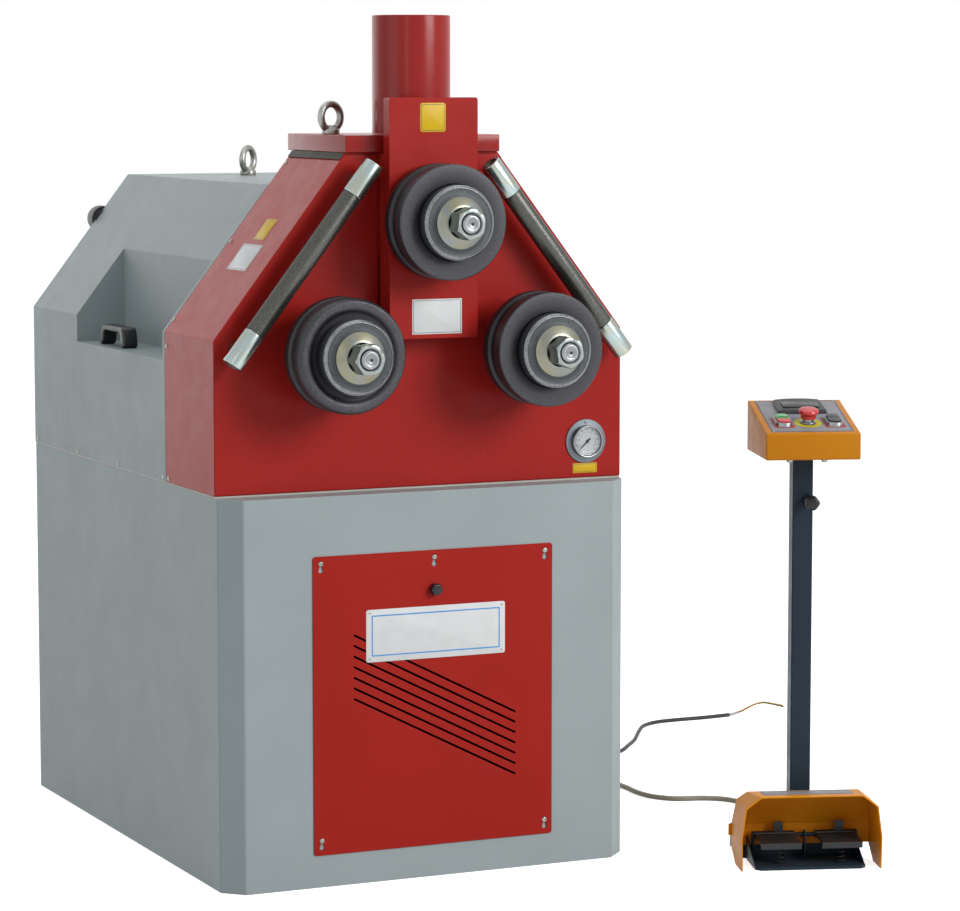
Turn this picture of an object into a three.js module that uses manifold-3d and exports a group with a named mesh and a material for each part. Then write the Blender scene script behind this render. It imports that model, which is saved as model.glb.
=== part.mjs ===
// Floor-standing hydraulic three-roll bender for rings and sections, with its foot-pedal pedestal.
// Millimetres, +Z up, front towards -Y. The origin is the centre of the cabinet's underside.
// The feature that takes the most skill is the roll head: a pressed-down ram between guide rails that
// carries the top roll, over two geared lower rolls, all behind a gabled folded cover.
import * as THREE from 'three';
import { mergeVertices } from 'three/addons/utils/BufferGeometryUtils.js';
import Module from 'manifold-3d';

const wasm = await Module();
wasm.setup();

// Values that every piece shares
const seat = 0.3; // clearance left where two pieces meet
const overrun = 6; // how far a cut runs past the face it opens
const weld = 0.001; // vertices closer than this are one
const round = { fine: 24, middle: 14, small: 8, loop: 6, arc: 2, rim: 2, lobe: 5 }; // facets of round forms

// Cabinet
const cabinet = {
  width: 840,
  depth: 1140,
  height: 742,
  chamfer: 38, // front upright corners
  wall: 3,
  floor: 4,
  deck: 10,
  doorHalf: 205, // front opening behind the lift-off panel
  doorBottom: 110,
  doorHead: 167, // from the doorway up to the deck's top
  hoseHalf: 120, // hose opening in the deck
  hoseFront: 400,
  hoseDepth: 300,
  rimHeight: 20, // upstand that the rear housing is screwed to
  rimInset: 15, // behind the housing's front edge
  cableHoleWidth: 170,
  cableHoleHeight: 34,
};
cabinet.doorTop = cabinet.height - cabinet.doorHead;

// Heights of the roll shafts, which everything on the head follows
const shafts = {
  rise: 267, // lower shafts above the cabinet
  gap: 242.5, // top shaft above the lower ones
  spread: 201.4, // half the distance of the lower shafts
};
shafts.low = cabinet.height + shafts.rise;
shafts.high = shafts.low + shafts.gap;

// Gabled head: the same section runs through the red cover, the frame and the grey rear housing
const head = {
  overhang: 1, // wider than the cabinet on each side
  lift: 4, // covers stand this much above the deck
  shoulderRise: 26, // sides turn inwards this far above the lower shafts
  ridgeHalf: 162, // half width at the ridge height
  ridgeRise: 118.5, // above the top shaft
  sheet: 3,
};
head.halfWidth = cabinet.width / 2 + head.overhang;
head.shoulder = shafts.low + head.shoulderRise;
head.ridge = shafts.high + head.ridgeRise;
const cover = {
  front: 47.6, // setback from the cabinet's front
  back: 315,
  sideDrop: 4, // sides end this far below the ridge height
  faceRise: 4, // front face ends this far above it
  slotGap: 6, // beside the ram
  slotBelow: 3, // under the ram at the end of its stroke
  boreShare: 1.06, // shaft holes against the bearing's diameter
};
cover.sideTop = head.ridge - cover.sideDrop;
cover.faceTop = head.ridge + cover.faceRise;
const housing = {
  setback: 1, // from the cabinet's back
  roofDrop: 58, // below the ridge height
  trayFront: 10, // open tray in the left shoulder, for the lifting handle: behind the cover
  trayLength: 522,
  trayDrop: 55, // tray's floor below the shoulder
  trayDepth: 103,
};
housing.back = cabinet.depth - housing.setback;
housing.roof = head.ridge - housing.roofDrop;
housing.trayFloor = head.shoulder - housing.trayDrop;

// Frame inside the head
const frame = {
  setback: 7.4, // front plate behind the cover's face
  span: 225, // from front plate to rear plate
  plate: 30,
  crown: 12, // top plate under the roof plate
  foot: 20,
  railWidth: 30,
  slotFloor: 6, // how far the frame's slot runs below the cover's
  slideFit: 0.5,
  gaugeShare: 1.4, // gauge hole against the gauge case's diameter
};
frame.frontPlate = cover.front + frame.setback;
frame.rearPlate = frame.frontPlate + frame.span;
frame.back = frame.rearPlate + frame.plate;

// Ram, cylinder and roof plate
const ram = {
  faceHalf: 90.4,
  faceFront: -7,
  faceThick: 28,
  faceBelow: 220.5, // face and block against the top shaft
  faceAbove: 229.5,
  edge: 5,
  blockHalf: 88,
  blockInset: 10, // in front of the frame's back
  blockBelow: 67.5,
  blockAbove: 94.5,
  stroke: 145,
};
ram.faceBottom = shafts.high - ram.faceBelow;
ram.faceTop = shafts.high + ram.faceAbove;
ram.blockBack = frame.back - ram.blockInset;
ram.blockBottom = shafts.high - ram.blockBelow;
ram.blockTop = shafts.high + ram.blockAbove;
cover.slotHalf = ram.blockHalf + cover.slotGap;
cover.slotBottom = ram.blockBottom - ram.stroke - cover.slotBelow;
const cylinder = {
  axis: 98, // distance behind the cabinet's front
  outer: 148,
  bore: 120,
  height: 224,
  cap: 20,
  lip: 4,
  rod: 70,
  piston: 30,
  roofInset: 4, // narrower than the ridge on each side
  roofLap: 6.6, // in front of the cover's face
  roofTail: 19, // behind the cover's back edge
  roofThick: 32,
  rodFit: 3,
};
cylinder.roofHalf = head.ridgeHalf - cylinder.roofInset;
cylinder.roofFront = cover.front - cylinder.roofLap;
cylinder.roofBack = cover.back + cylinder.roofTail;

// Rolls and their shafts, measured along Y from the cabinet's front
const roll = {
  diameter: 215.4,
  width: 77,
  back: -20,
  backFlange: 24,
  frontFlange: 28,
  grooveDepth: 6,
  grooveSlope: 4,
  rim: 6, // rounding of the front flange's edge
  dish: 4, // depth of the dished front face
  dishRim: 12,
};
roll.front = roll.back - roll.width;
const collar = { diameter: 140, length: 35, chamfer: 5 };
collar.back = roll.front + roll.dish;
collar.front = collar.back - collar.length;
const nut = {
  flange: 99.4,
  coneTop: 62,
  coneDepth: 11,
  edge: 2,
  length: 43,
  acrossFlats: 60,
  flats: 6,
};
nut.coneFront = collar.front - nut.coneDepth;
nut.front = collar.front - nut.length;
const shaft = {
  seat: 60,
  shoulder: 96,
  shoulderInset: 4.4, // behind the cover's face
  tail: 50,
  tailGap: 2, // behind the frame's back
  tailLength: 28,
  thread: 38,
  tipOut: 11.5, // in front of the nut
  tipChamfer: 2,
  centreHole: 5,
  centreDepth: 8,
  keyWidth: 18,
  keyProud: 4,
  keyEnds: 8, // how far the key stops short of the roll's faces
};
shaft.shoulderBack = cover.front + shaft.shoulderInset;
shaft.tailStart = frame.back + shaft.tailGap;
shaft.tailEnd = shaft.tailStart + shaft.tailLength;
shaft.tip = nut.front - shaft.tipOut;
const bearing = { outer: 104 };

// Guide bars beside the rolls
const guide = {
  lowInset: 18, // inside the head's side
  lowDrop: 43, // below the shoulder
  highInset: 43.5, // inside the ridge's end
  highDrop: 12, // below the ridge height
  bar: 38,
  sleeve: 40,
  sleeveLength: 73,
  spigot: 26,
  recess: 3,
  post: 24, // standoff between sleeve and cover
  chamfer: 1.5,
};
guide.lowX = head.halfWidth - guide.lowInset;
guide.lowZ = head.shoulder - guide.lowDrop;
guide.highX = head.ridgeHalf - guide.highInset;
guide.highZ = head.ridge - guide.highDrop;

// Pressure gauge
const gauge = {
  inset: 76, // inside the head's side
  rise: 75, // above the cabinet
  flange: 85,
  flangeThick: 2,
  bezel: 63,
  bezelDepth: 12,
  body: 60,
  bodyDepth: 28,
  window: 54,
  recess: 8,
  glass: 2,
  glassInset: 1.5,
  lens: 56,
  needleLength: 21,
  needleTail: 7,
  needleWidth: 2.4,
  needleThick: 0.8,
  hub: 6,
  hubDepth: 2.4,
  stem: 14,
  stemLength: 16,
  pointing: 135, // degrees from upright to where the needle rests
};
gauge.x = head.halfWidth - gauge.inset;
gauge.z = cabinet.height + gauge.rise;

// Lift-off front panel on keyholes, with a quarter-turn knob
const panel = {
  centre: 2,
  sideLap: 43, // over the doorway's edges
  bottomLap: 48,
  topLap: 54.5,
  thick: 2,
  corner: 6,
  screwInset: 16, // outer keyholes inside the panel's sides
  upperInset: 13.5,
  lowerInset: 28,
  keyLift: 13,
  keyHead: 11.3,
  keySlot: 5.6,
  knobDrop: 20, // below the doorway's top
  knobHole: 10,
  ventDrop: 11.5, // middle of the slots below the doorway's middle
  ventCentre: 4,
  ventPitch: 18,
  ventRows: 7,
  ventLength: 378,
  ventHeight: 4,
  ventShift: 9.2, // each slot this much further along than the one above
  ventSlant: 27, // degrees that the slots fall to the right
};
panel.half = cabinet.doorHalf + panel.sideLap;
panel.bottom = cabinet.doorBottom - panel.bottomLap;
panel.top = cabinet.doorTop + panel.topLap;
panel.knobZ = cabinet.doorTop - panel.knobDrop;
panel.ventZ = (cabinet.doorBottom + cabinet.doorTop) / 2 - panel.ventDrop;
const knob = {
  diameter: 25,
  depth: 15,
  bevel: 2,
  lobes: 6,
  lobeShare: 0.07,
  pin: 8,
  tongueLength: 34,
  tongueWidth: 14,
  tongueThick: 3,
};

// Eye bolts for lifting
const eye = {
  ring: 63,
  hole: 35,
  collar: 35,
  collarHeight: 10,
  neck: 22,
  neckTop: 14,
  clear: 1,
  shank: 16,
  shankLength: 22,
  frontX: -128,
  frontY: 187,
  frontTurn: 20,
  rearInset: 178, // in front of the housing's back
  rearTurn: 40,
};

// Handle in the tray and cap on the rear wall
const grip = {
  setback: 295, // behind the tray's front
  length: 132,
  height: 44,
  width: 31,
  inset: 21, // from the outer face of the housing
  leg: 22,
  bar: 13,
  corner: 16,
  flare: 4,
};
const rearCap = { inset: 161, drop: 95, diameter: 56, depth: 36, spigot: 39, spigotLength: 7, dome: 6 };

// Drives and what the cabinet holds
const drive = {
  top: 100,
  topFlange: 15,
  topLength: 128,
  topCap: 80,
  topCapLength: 26,
  gearbox: 150,
  gearboxDepth: 80,
  trunkTop: 31, // height of the gearbox's middle above the lower shafts
  trunkBottom: 75,
  motor: 110,
  motorDrop: 24,
  motorLength: 165,
};
const pack = {
  width: 430,
  depth: 330,
  height: 250,
  front: 330,
  lid: 8,
  lidOut: 6,
  motor: 180,
  motorHeight: 250,
  motorX: -90,
  fan: 150,
  fanHeight: 30,
  block: 110,
  blockHeight: 130,
  blockX: 110,
};
const electric = { width: 130, depth: 320, height: 380, front: 200, drop: 112, doorOut: 4, doorEdge: 8 };

// Cable outlet plate on the right wall
const outlet = {
  back: 700, // control cable's gland, from the cabinet's front
  leadBack: 840,
  controlZ: 90,
  leadZ: 100,
  thick: 3,
  margin: 28,
  hex: 22,
  flats: 6,
  hexDepth: 6,
  dome: 19,
  domeDepth: 18,
};

// Pedestal: its own frame, turned about its post
const pedestal = { x: 727.4, y: -695.6, turn: -18.7 };
const foot = {
  half: 108,
  front: -138,
  back: 95,
  thick: 6,
  chamfer: 10,
  boxHalf: 118,
  cheek: 3, // upright plates beside the pedals
  boxFront: -25,
  boxTop: 45,
  hingeY: -42,
  hingeZ: 49,
  rod: 8,
  ear: 3,
  earGap: 1,
  earWidth: 18,
  earTop: 7,
  gland: 18,
  glandLength: 24,
  glandZ: 22,
};
const post = {
  side: 40,
  wall: 2.5,
  top: 787,
  stemFit: 0.5,
  corner: 3,
  bossX: 9,
  bossZ: 703,
  boss: 23,
  bossLength: 28,
};
const clampKnob = {
  diameter: 26,
  depth: 21,
  lobes: 5,
  lobeShare: 0.1,
  bevel: 2,
  neck: 17,
  neckLength: 8,
  stud: 8,
};
const hood = {
  front: -142,
  slack: 0.3, // between the hood's back and the foot's box
  topBack: -45,
  topDrop: 8, // from the rim to the top's rear edge
  half: 137,
  bulge: 138,
  bulgeZ: 62,
  shoulder: 130,
  shoulderZ: 122,
  top: 145,
  topHalf: 100,
  wall: 2.5,
  backTop: 72,
  backBottom: 29,
  skirtBack: -74,
  earOut: 5,
  earBottom: 48,
  earTop: 70,
  earDepth: 6,
};
hood.back = foot.boxFront - hood.slack;
const pedal = {
  width: 79,
  leftCentre: -55,
  rightCentre: 64.5,
  front: -115,
  frontDrop: 5, // tread's ends against the hinge
  rearRise: 4,
  thick: 5,
  nose: 7, // turned-down front edge
  barrel: 16,
  tabHalf: 9,
  tabShift: 7.5, // tab's centre right of the pedal's
  tabRise: 27, // above the hinge
  tabThick: 4,
  ribs: 4,
  ribHeight: 1.2,
  ribWidth: 3,
};
pedal.frontZ = foot.hingeZ - pedal.frontDrop;
pedal.rearZ = foot.hingeZ + pedal.rearRise;
const spring = { setback: 12, mean: 8, wire: 2.4, turns: 5, steps: 8, sides: 5 };

// Control box on the post
const box = {
  half: 91.7,
  front: -119,
  back: 83,
  rise: 4.8, // above the post's top
  frontHeight: 51.3,
  backHeight: 97.7,
  wall: 2,
  stemWall: 2,
  stemLength: 240,
  bezelLeft: 43, // centres along the sloped face, from its front left corner
  bezelRight: 142,
  bezelUp: 64,
  bezelHalf: 16,
  bezelReach: 27,
  bezelHeight: 5,
  bezelLip: 3,
  estopX: 92,
  estopUp: 62,
};
box.bottom = post.top + box.rise;
box.frontTop = box.bottom + box.frontHeight;
box.backTop = box.bottom + box.backHeight;
box.stem = post.side - 2 * post.wall - 2 * post.stemFit;
const button = { half: 12, reach: 10.5, gap: 2, proud: 3.5, depth: 6, corner: 3 };
const estop = {
  cap: 39,
  capBase: 30,
  capHeight: 20,
  crown: 4,
  stem: 21,
  stemProud: 10.5,
  stemDepth: 18,
  spindle: 10,
  spindleReach: 6,
};
const display = {
  left: 44,
  right: 142,
  low: 117,
  high: 195,
  base: 7,
  hoodHeight: 10,
  hoodWall: 3,
  windowLip: 9,
  windowDepth: 2,
  corner: 12,
};

// Cords: routes chosen by hand, from where each leaves its gland to its far end
const controlCable = {
  diameter: 11,
  sides: 8,
  steps: 40,
  route: [
    [447.6, 130, 90], [463, 130, 90], [488, 130, 84],
    [520, 128, 70], [570, 120, 42], [622, 104, 16], [668, 78, 6.2],
    [700, 38, 5.8], [704, -8, 5.8], [702, -60, 5.8], [712, -110, 5.8], [744, -150, 5.8], [802, -171, 5.8],
    [840, -203, 5.8], [854, -258, 5.8], [850, -330, 5.8], [836, -400, 5.8], [815, -462, 6.2],
    [794, -515, 12], [777, -551, 20.6], [770.4, -568.6, 22], [765.65, -582.6, 22],
  ],
};
const supplyLead = {
  diameter: 9,
  sides: 8,
  steps: 40,
  route: [
    [447.6, 270, 100], [463, 270, 100], [490, 270, 93],
    [524, 272, 78], [580, 277, 46], [640, 285, 17], [700, 296, 5],
    [760, 309, 4.8], [826, 332, 4.8], [886, 373, 4.8], [930, 424, 4.8], [969, 472, 4.8], [1030, 566, 4.8],
    [1072, 622, 4.8], [1120, 650, 4.8], [1180, 656, 4.8], [1250, 655, 4.8], [1320, 661, 4.8],
    [1362, 676, 8], [1402, 694, 16], [1437, 704, 19], [1466, 702, 13], [1490, 692, 6.5],
  ],
};

// Finishes
const finishes = {
  greyPaint: { color: '#b7bbb5', roughness: 0.5, metalness: 0 },
  redPaint: { color: '#a31c1d', roughness: 0.35, metalness: 0 },
  brightRedPaint: { color: '#c22a20', roughness: 0.45, metalness: 0 },
  darkSteel: { color: '#35363b', roughness: 0.45, metalness: 0.8 },
  turnedSteel: { color: '#6f7073', roughness: 0.35, metalness: 1 },
  zinc: { color: '#b9b39d', roughness: 0.35, metalness: 1 },
  plateSteel: { color: '#4d504f', roughness: 0.55, metalness: 0.6 },
  blackPlastic: { color: '#1b1c1f', roughness: 0.45, metalness: 0 },
  darkPaint: { color: '#2b3138', roughness: 0.45, metalness: 0 },
  orangePaint: { color: '#d98a1e', roughness: 0.4, metalness: 0 },
  redPlastic: { color: '#c8201f', roughness: 0.35, metalness: 0 },
  greenPlastic: { color: '#2f9a4a', roughness: 0.35, metalness: 0 },
  greyRubber: { color: '#8b8982', roughness: 0.6, metalness: 0 },
  blackRubber: { color: '#222224', roughness: 0.6, metalness: 0 },
  glass: { color: '#dfe6e6', roughness: 0.05, metalness: 0 },
};

// A closed form as a solid: only positions are kept and triangles that shrank to a line are dropped
function asSolid(form) {
  const bare = new THREE.BufferGeometry();
  bare.setAttribute('position', form.getAttribute('position'));
  bare.setIndex(form.index);
  const merged = mergeVertices(bare, weld);
  const index = merged.index.array;
  const kept = [];
  for (let i = 0; i < index.length; i += 3) {
    const [a, b, c] = index.slice(i, i + 3);
    if (a !== b && b !== c && c !== a) kept.push(a, b, c);
  }
  const vertProperties = merged.attributes.position.array;
  return new wasm.Manifold(new wasm.Mesh({ numProp: 3, vertProperties, triVerts: new Uint32Array(kept) }));
}

// A solid as a faceted geometry
function asForm(solid) {
  const { vertProperties, triVerts } = solid.getMesh();
  const form = new THREE.BufferGeometry();
  form.setAttribute('position', new THREE.BufferAttribute(vertProperties, 3));
  form.setIndex(new THREE.BufferAttribute(triVerts, 1));
  const faceted = form.toNonIndexed();
  faceted.computeVertexNormals();
  return faceted;
}

const join = (first, ...others) => asForm(others.reduce((a, b) => a.add(asSolid(b)), asSolid(first)));
const cut = (first, ...tools) => asForm(tools.reduce((a, b) => a.subtract(asSolid(b)), asSolid(first)));
const common = (first, second) => asForm(asSolid(first).intersect(asSolid(second)));

// A named mesh of one closed form
function piece(name, form, finish) {
  const mesh = new THREE.Mesh(asForm(asSolid(form)), new THREE.MeshStandardMaterial(finishes[finish]));
  mesh.name = name;
  return mesh;
}

function group(...members) {
  const made = new THREE.Group();
  made.add(...members);
  return made;
}

const inPlane = (points) => new THREE.Shape(points.map(([u, v]) => new THREE.Vector2(u, v)));
const flatSides = { bevelEnabled: false, curveSegments: round.arc };

// A block between two opposite corners
function block(low, high) {
  const [width, depth, height] = high.map((value, i) => value - low[i]);
  const form = new THREE.BoxGeometry(width, depth, height);
  return form.translate(low[0] + width / 2, low[1] + depth / 2, low[2] + height / 2);
}

// An outline in X and Y raised from one height to another
function raised(shape, from, to, options = flatSides) {
  return new THREE.ExtrudeGeometry(shape, { ...options, depth: to - from }).translate(0, 0, from);
}

// An outline in X and Z drawn back along Y
function drawnBack(shape, from, to, options = flatSides) {
  return new THREE.ExtrudeGeometry(
    shape,
    { ...options, depth: to - from },
  ).rotateX(Math.PI / 2).translate(0, to, 0);
}

// An outline in Y and Z drawn sideways along X
function drawnAcross(shape, from, to) {
  const form = new THREE.ExtrudeGeometry(shape, { ...flatSides, depth: to - from });
  return form.rotateX(Math.PI / 2).rotateZ(Math.PI / 2).translate(from, 0, 0);
}

// A profile of [radius, distance] turned about the Y axis
function turned(profile, sides) {
  const points = profile.map(([radius, along]) => new THREE.Vector2(radius, along));
  if (THREE.ShapeUtils.area(points) < 0) points.reverse();
  return new THREE.LatheGeometry(points, sides);
}

// The same turned about the Z axis
const turnedUp = (profile, sides) => turned(profile, sides).rotateX(Math.PI / 2);

const disc = (radius, from, to) => [[0, from], [radius, from], [radius, to], [0, to]];
// Radius of a faceted hole that clears a round piece of the given radius however either is turned
const bored = (radius, sides) => (radius + seat) / Math.cos(Math.PI / sides);
const ring = (inner, outer, from, to) => [
  [inner, from],
  [outer, from],
  [outer, to],
  [inner, to],
  [inner, from],
];

// Closed outline of a rectangle with rounded corners, round its own centre
function roundedRectangle(halfWide, halfHigh, corner) {
  const shape = new THREE.Shape();
  shape.moveTo(-halfWide + corner, -halfHigh);
  shape.lineTo(halfWide - corner, -halfHigh);
  shape.absarc(halfWide - corner, -halfHigh + corner, corner, -Math.PI / 2, 0);
  shape.lineTo(halfWide, halfHigh - corner);
  shape.absarc(halfWide - corner, halfHigh - corner, corner, 0, Math.PI / 2);
  shape.lineTo(-halfWide + corner, halfHigh);
  shape.absarc(-halfWide + corner, halfHigh - corner, corner, Math.PI / 2, Math.PI);
  shape.lineTo(-halfWide, -halfHigh + corner);
  shape.absarc(-halfWide + corner, -halfHigh + corner, corner, Math.PI, 1.5 * Math.PI);
  return shape;
}

// Outline of a hand knob: a circle whose radius swells once for each lobe
function lobedOutline(radius, lobes, share) {
  const count = lobes * round.lobe;
  const points = Array.from({ length: count }, (_, i) => {
    const angle = (2 * Math.PI * i) / count;
    const reach = radius * (1 - share + share * Math.cos(lobes * angle));
    return [reach * Math.cos(angle), reach * Math.sin(angle)];
  });
  return inPlane(points);
}

// Gabled section of the head, drawn in from its outside by inset, between two heights
const slopeRun = head.halfWidth - head.ridgeHalf;
const slopeRise = head.ridge - head.shoulder;
const slopeLength = Math.hypot(slopeRun, slopeRise);
function slopeHalfAt(height, inset) {
  return head.halfWidth - ((height - head.shoulder) * slopeRun + inset * slopeLength) / slopeRise;
}
function shoulderAt(inset) {
  return head.shoulder - (inset * (slopeLength - slopeRise)) / slopeRun;
}
function gable(inset, bottom, top) {
  const half = head.halfWidth - inset;
  const shoulder = shoulderAt(inset);
  const upright = [[half, bottom], [half, shoulder]];
  const right = bottom < shoulder ? upright : [[slopeHalfAt(bottom, inset), bottom]];
  right.push([slopeHalfAt(top, inset), top]);
  const left = right.map(([x, z]) => [-x, z]).reverse();
  return inPlane([...right, ...left]);
}

// Cabinet: chamfered plan, sheet walls, thick deck, open doorway behind the lift-off panel
function cabinetPlan(inset) {
  const half = cabinet.width / 2 - inset;
  const back = cabinet.depth - inset;
  const turn = cabinet.chamfer + inset * Math.tan(Math.PI / 8);
  const right = [[cabinet.width / 2 - turn, inset], [half, turn], [half, back]];
  const left = right.map(([x, y]) => [-x, y]).reverse();
  return inPlane([...right, ...left]);
}
function baseCabinet() {
  const c = cabinet;
  const shell = raised(cabinetPlan(0), 0, c.height);
  const inside = raised(cabinetPlan(c.wall), c.floor, c.height - c.deck);
  const doorway = block([-c.doorHalf, -overrun, c.doorBottom], [c.doorHalf, c.wall + overrun, c.doorTop]);
  const hoses = block(
    [-c.hoseHalf, c.hoseFront, c.height - c.deck - overrun],
    [c.hoseHalf, c.hoseFront + c.hoseDepth, c.height + overrun],
  );
  const middle = (outlet.back + outlet.leadBack) / 2;
  const cableHole = block(
    [
      c.width / 2 - c.wall - overrun,
      middle - c.cableHoleWidth / 2,
      outlet.controlZ - c.cableHoleHeight / 2,
    ],
    [c.width / 2 + overrun, middle + c.cableHoleWidth / 2, outlet.controlZ + c.cableHoleHeight / 2],
  );
  const rimHalf = head.halfWidth - head.sheet - seat;
  const rimBack = housing.back - head.sheet - seat;
  const rimFront = cover.back + c.rimInset;
  const top = c.height + c.rimHeight;
  const rim = cut(
    block([-rimHalf, rimFront, c.height - c.deck / 2], [rimHalf, rimBack, top]),
    block([-rimHalf + c.wall, rimFront - overrun, 0], [rimHalf - c.wall, rimBack - c.wall, top + overrun]),
  );
  return piece('base_cabinet', cut(join(cut(shell, inside), rim), doorway, hoses, cableHole), 'greyPaint');
}

// Lift-off panel: keyholes, knob hole and a bank of plain slanted vent slots
function slotHole(along, across, length, height, slant) {
  const hole = new THREE.Path();
  const reach = (length - height) / 2;
  for (const end of [1, -1]) {
    const x = (along + end * reach) * Math.cos(slant) + across * Math.sin(slant);
    const z = across * Math.cos(slant) - (along + end * reach) * Math.sin(slant);
    const start = (-end * Math.PI) / 2 - slant;
    hole.absarc(
      panel.ventCentre + x,
      panel.ventZ + z,
      height / 2,
      start,
      start + Math.PI,
    );
  }
  return hole;
}
function keyhole(x, screw) {
  const hole = new THREE.Path();
  const head = panel.keyHead / 2;
  const neck = panel.keySlot / 2;
  const low = screw - panel.keyLift;
  const turn = Math.asin(neck / head);
  hole.absarc(x, screw, neck, 0, Math.PI);
  hole.absarc(x, low, head, Math.PI / 2 + turn, 2.5 * Math.PI - turn);
  return hole;
}
function frontPanel() {
  const p = panel;
  const middle = (p.bottom + p.top) / 2;
  const outline = roundedRectangle(p.half, (p.top - p.bottom) / 2, p.corner).getPoints(round.arc);
  const sheet = inPlane(outline.map(({ x, y }) => [x + p.centre, y + middle]));
  const aside = p.half - p.screwInset;
  const upper = p.top - p.upperInset;
  const lower = p.bottom + p.lowerInset;
  const screws = [[-aside, upper], [0, upper], [aside, upper], [-aside, lower], [aside, lower]];
  for (const [x, z] of screws) sheet.holes.push(keyhole(p.centre + x, z));
  const knobHole = new THREE.Path();
  knobHole.absarc(p.centre, p.knobZ, p.knobHole / 2, 0, Math.PI);
  knobHole.absarc(p.centre, p.knobZ, p.knobHole / 2, Math.PI, 2 * Math.PI);
  sheet.holes.push(knobHole);
  const slant = THREE.MathUtils.degToRad(p.ventSlant);
  for (let row = 0; row < p.ventRows; row += 1) {
    const step = row - (p.ventRows - 1) / 2;
    sheet.holes.push(slotHole(step * p.ventShift, -step * p.ventPitch, p.ventLength, p.ventHeight, slant));
  }
  return piece('front_panel', drawnBack(sheet, -seat - p.thick, -seat), 'brightRedPaint');
}
function panelKnob() {
  const k = knob;
  const back = -seat - panel.thick - seat;
  const outline = lobedOutline(k.diameter / 2 - k.bevel, k.lobes, k.lobeShare);
  const soft = { bevelSize: k.bevel, bevelThickness: k.bevel, bevelSegments: 1, curveSegments: round.arc };
  const grip = drawnBack(outline, back - k.depth + k.bevel, back - k.bevel, soft);
  const behind = cabinet.wall + 2 * seat;
  const pin = turned(disc(k.pin / 2, back - k.bevel, behind + k.tongueThick), round.small);
  const half = k.tongueWidth / 2;
  const tongue = block([-half, behind, -half], [half, behind + k.tongueThick, k.tongueLength - half]);
  const mesh = piece('panel_knob', join(grip, pin, tongue), 'blackPlastic');
  mesh.position.set(panel.centre, 0, panel.knobZ);
  return mesh;
}

// Red cover: folded from one sheet, open at the back, the bottom and the top, slotted for the ram
function frontCover() {
  const c = cover;
  const bottom = cabinet.height + head.lift;
  const skin = drawnBack(gable(0, bottom, c.faceTop), c.front, c.back);
  const inside = drawnBack(
    gable(head.sheet, bottom - overrun, c.faceTop + overrun),
    c.front + head.sheet,
    c.back + overrun,
  );
  const sideTrim = block(
    [-head.halfWidth, c.front + head.sheet, c.sideTop],
    [head.halfWidth, c.back + overrun, c.faceTop + overrun],
  );
  const slot = block(
    [-c.slotHalf, c.front - overrun, c.slotBottom],
    [c.slotHalf, c.front + head.sheet + overrun, c.faceTop + overrun],
  );
  const shaftHole = turned(
    disc((bearing.outer * c.boreShare) / 2, c.front - overrun, c.front + head.sheet + overrun),
    round.fine,
  );
  const gaugeHole = turned(
    disc(bored(gauge.body / 2, round.middle), c.front - overrun, c.front + head.sheet + overrun),
    round.middle,
  );
  const holes = [-shafts.spread, shafts.spread].map((x) => shaftHole.clone().translate(x, 0, shafts.low));
  holes.push(gaugeHole.translate(gauge.x, 0, gauge.z));
  return piece('front_cover', cut(skin, inside, sideTrim, slot, ...holes), 'redPaint');
}

// Grey rear housing with the sunken tray in its left shoulder
const capX = rearCap.inset - head.halfWidth;
const capZ = housing.roof - rearCap.drop;
const eyeBack = housing.back - eye.rearInset;
function rearHousing() {
  const h = housing;
  const bottom = cabinet.height + head.lift;
  const front = cover.back + seat;
  const t = head.sheet;
  const outside = drawnBack(gable(0, bottom, h.roof), front, h.back);
  const inside = drawnBack(gable(t, bottom - overrun, h.roof - t), front - overrun, h.back - t);
  const trayFront = cover.back + h.trayFront;
  const low = [-head.halfWidth - overrun, trayFront, h.trayFloor];
  const high = [-head.halfWidth + h.trayDepth, trayFront + h.trayLength, h.roof];
  const lining = block([low[0], low[1] - t, low[2] - t], [high[0] + t, high[1] + t, high[2]]);
  const capHole = turned(
    disc(bored(rearCap.spigot / 2, round.small), h.back - t - overrun, h.back + overrun),
    round.small,
  );
  const eyeHole = turnedUp(
    disc(bored(eye.shank / 2, round.small), h.roof - t - overrun, h.roof + overrun),
    round.small,
  );
  const shell = cut(outside, cut(inside, lining));
  const open = cut(
    shell,
    block(low, high),
    capHole.translate(capX, 0, capZ),
    eyeHole.translate(0, eyeBack, 0),
  );
  return piece('rear_housing', open, 'greyPaint');
}

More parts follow.
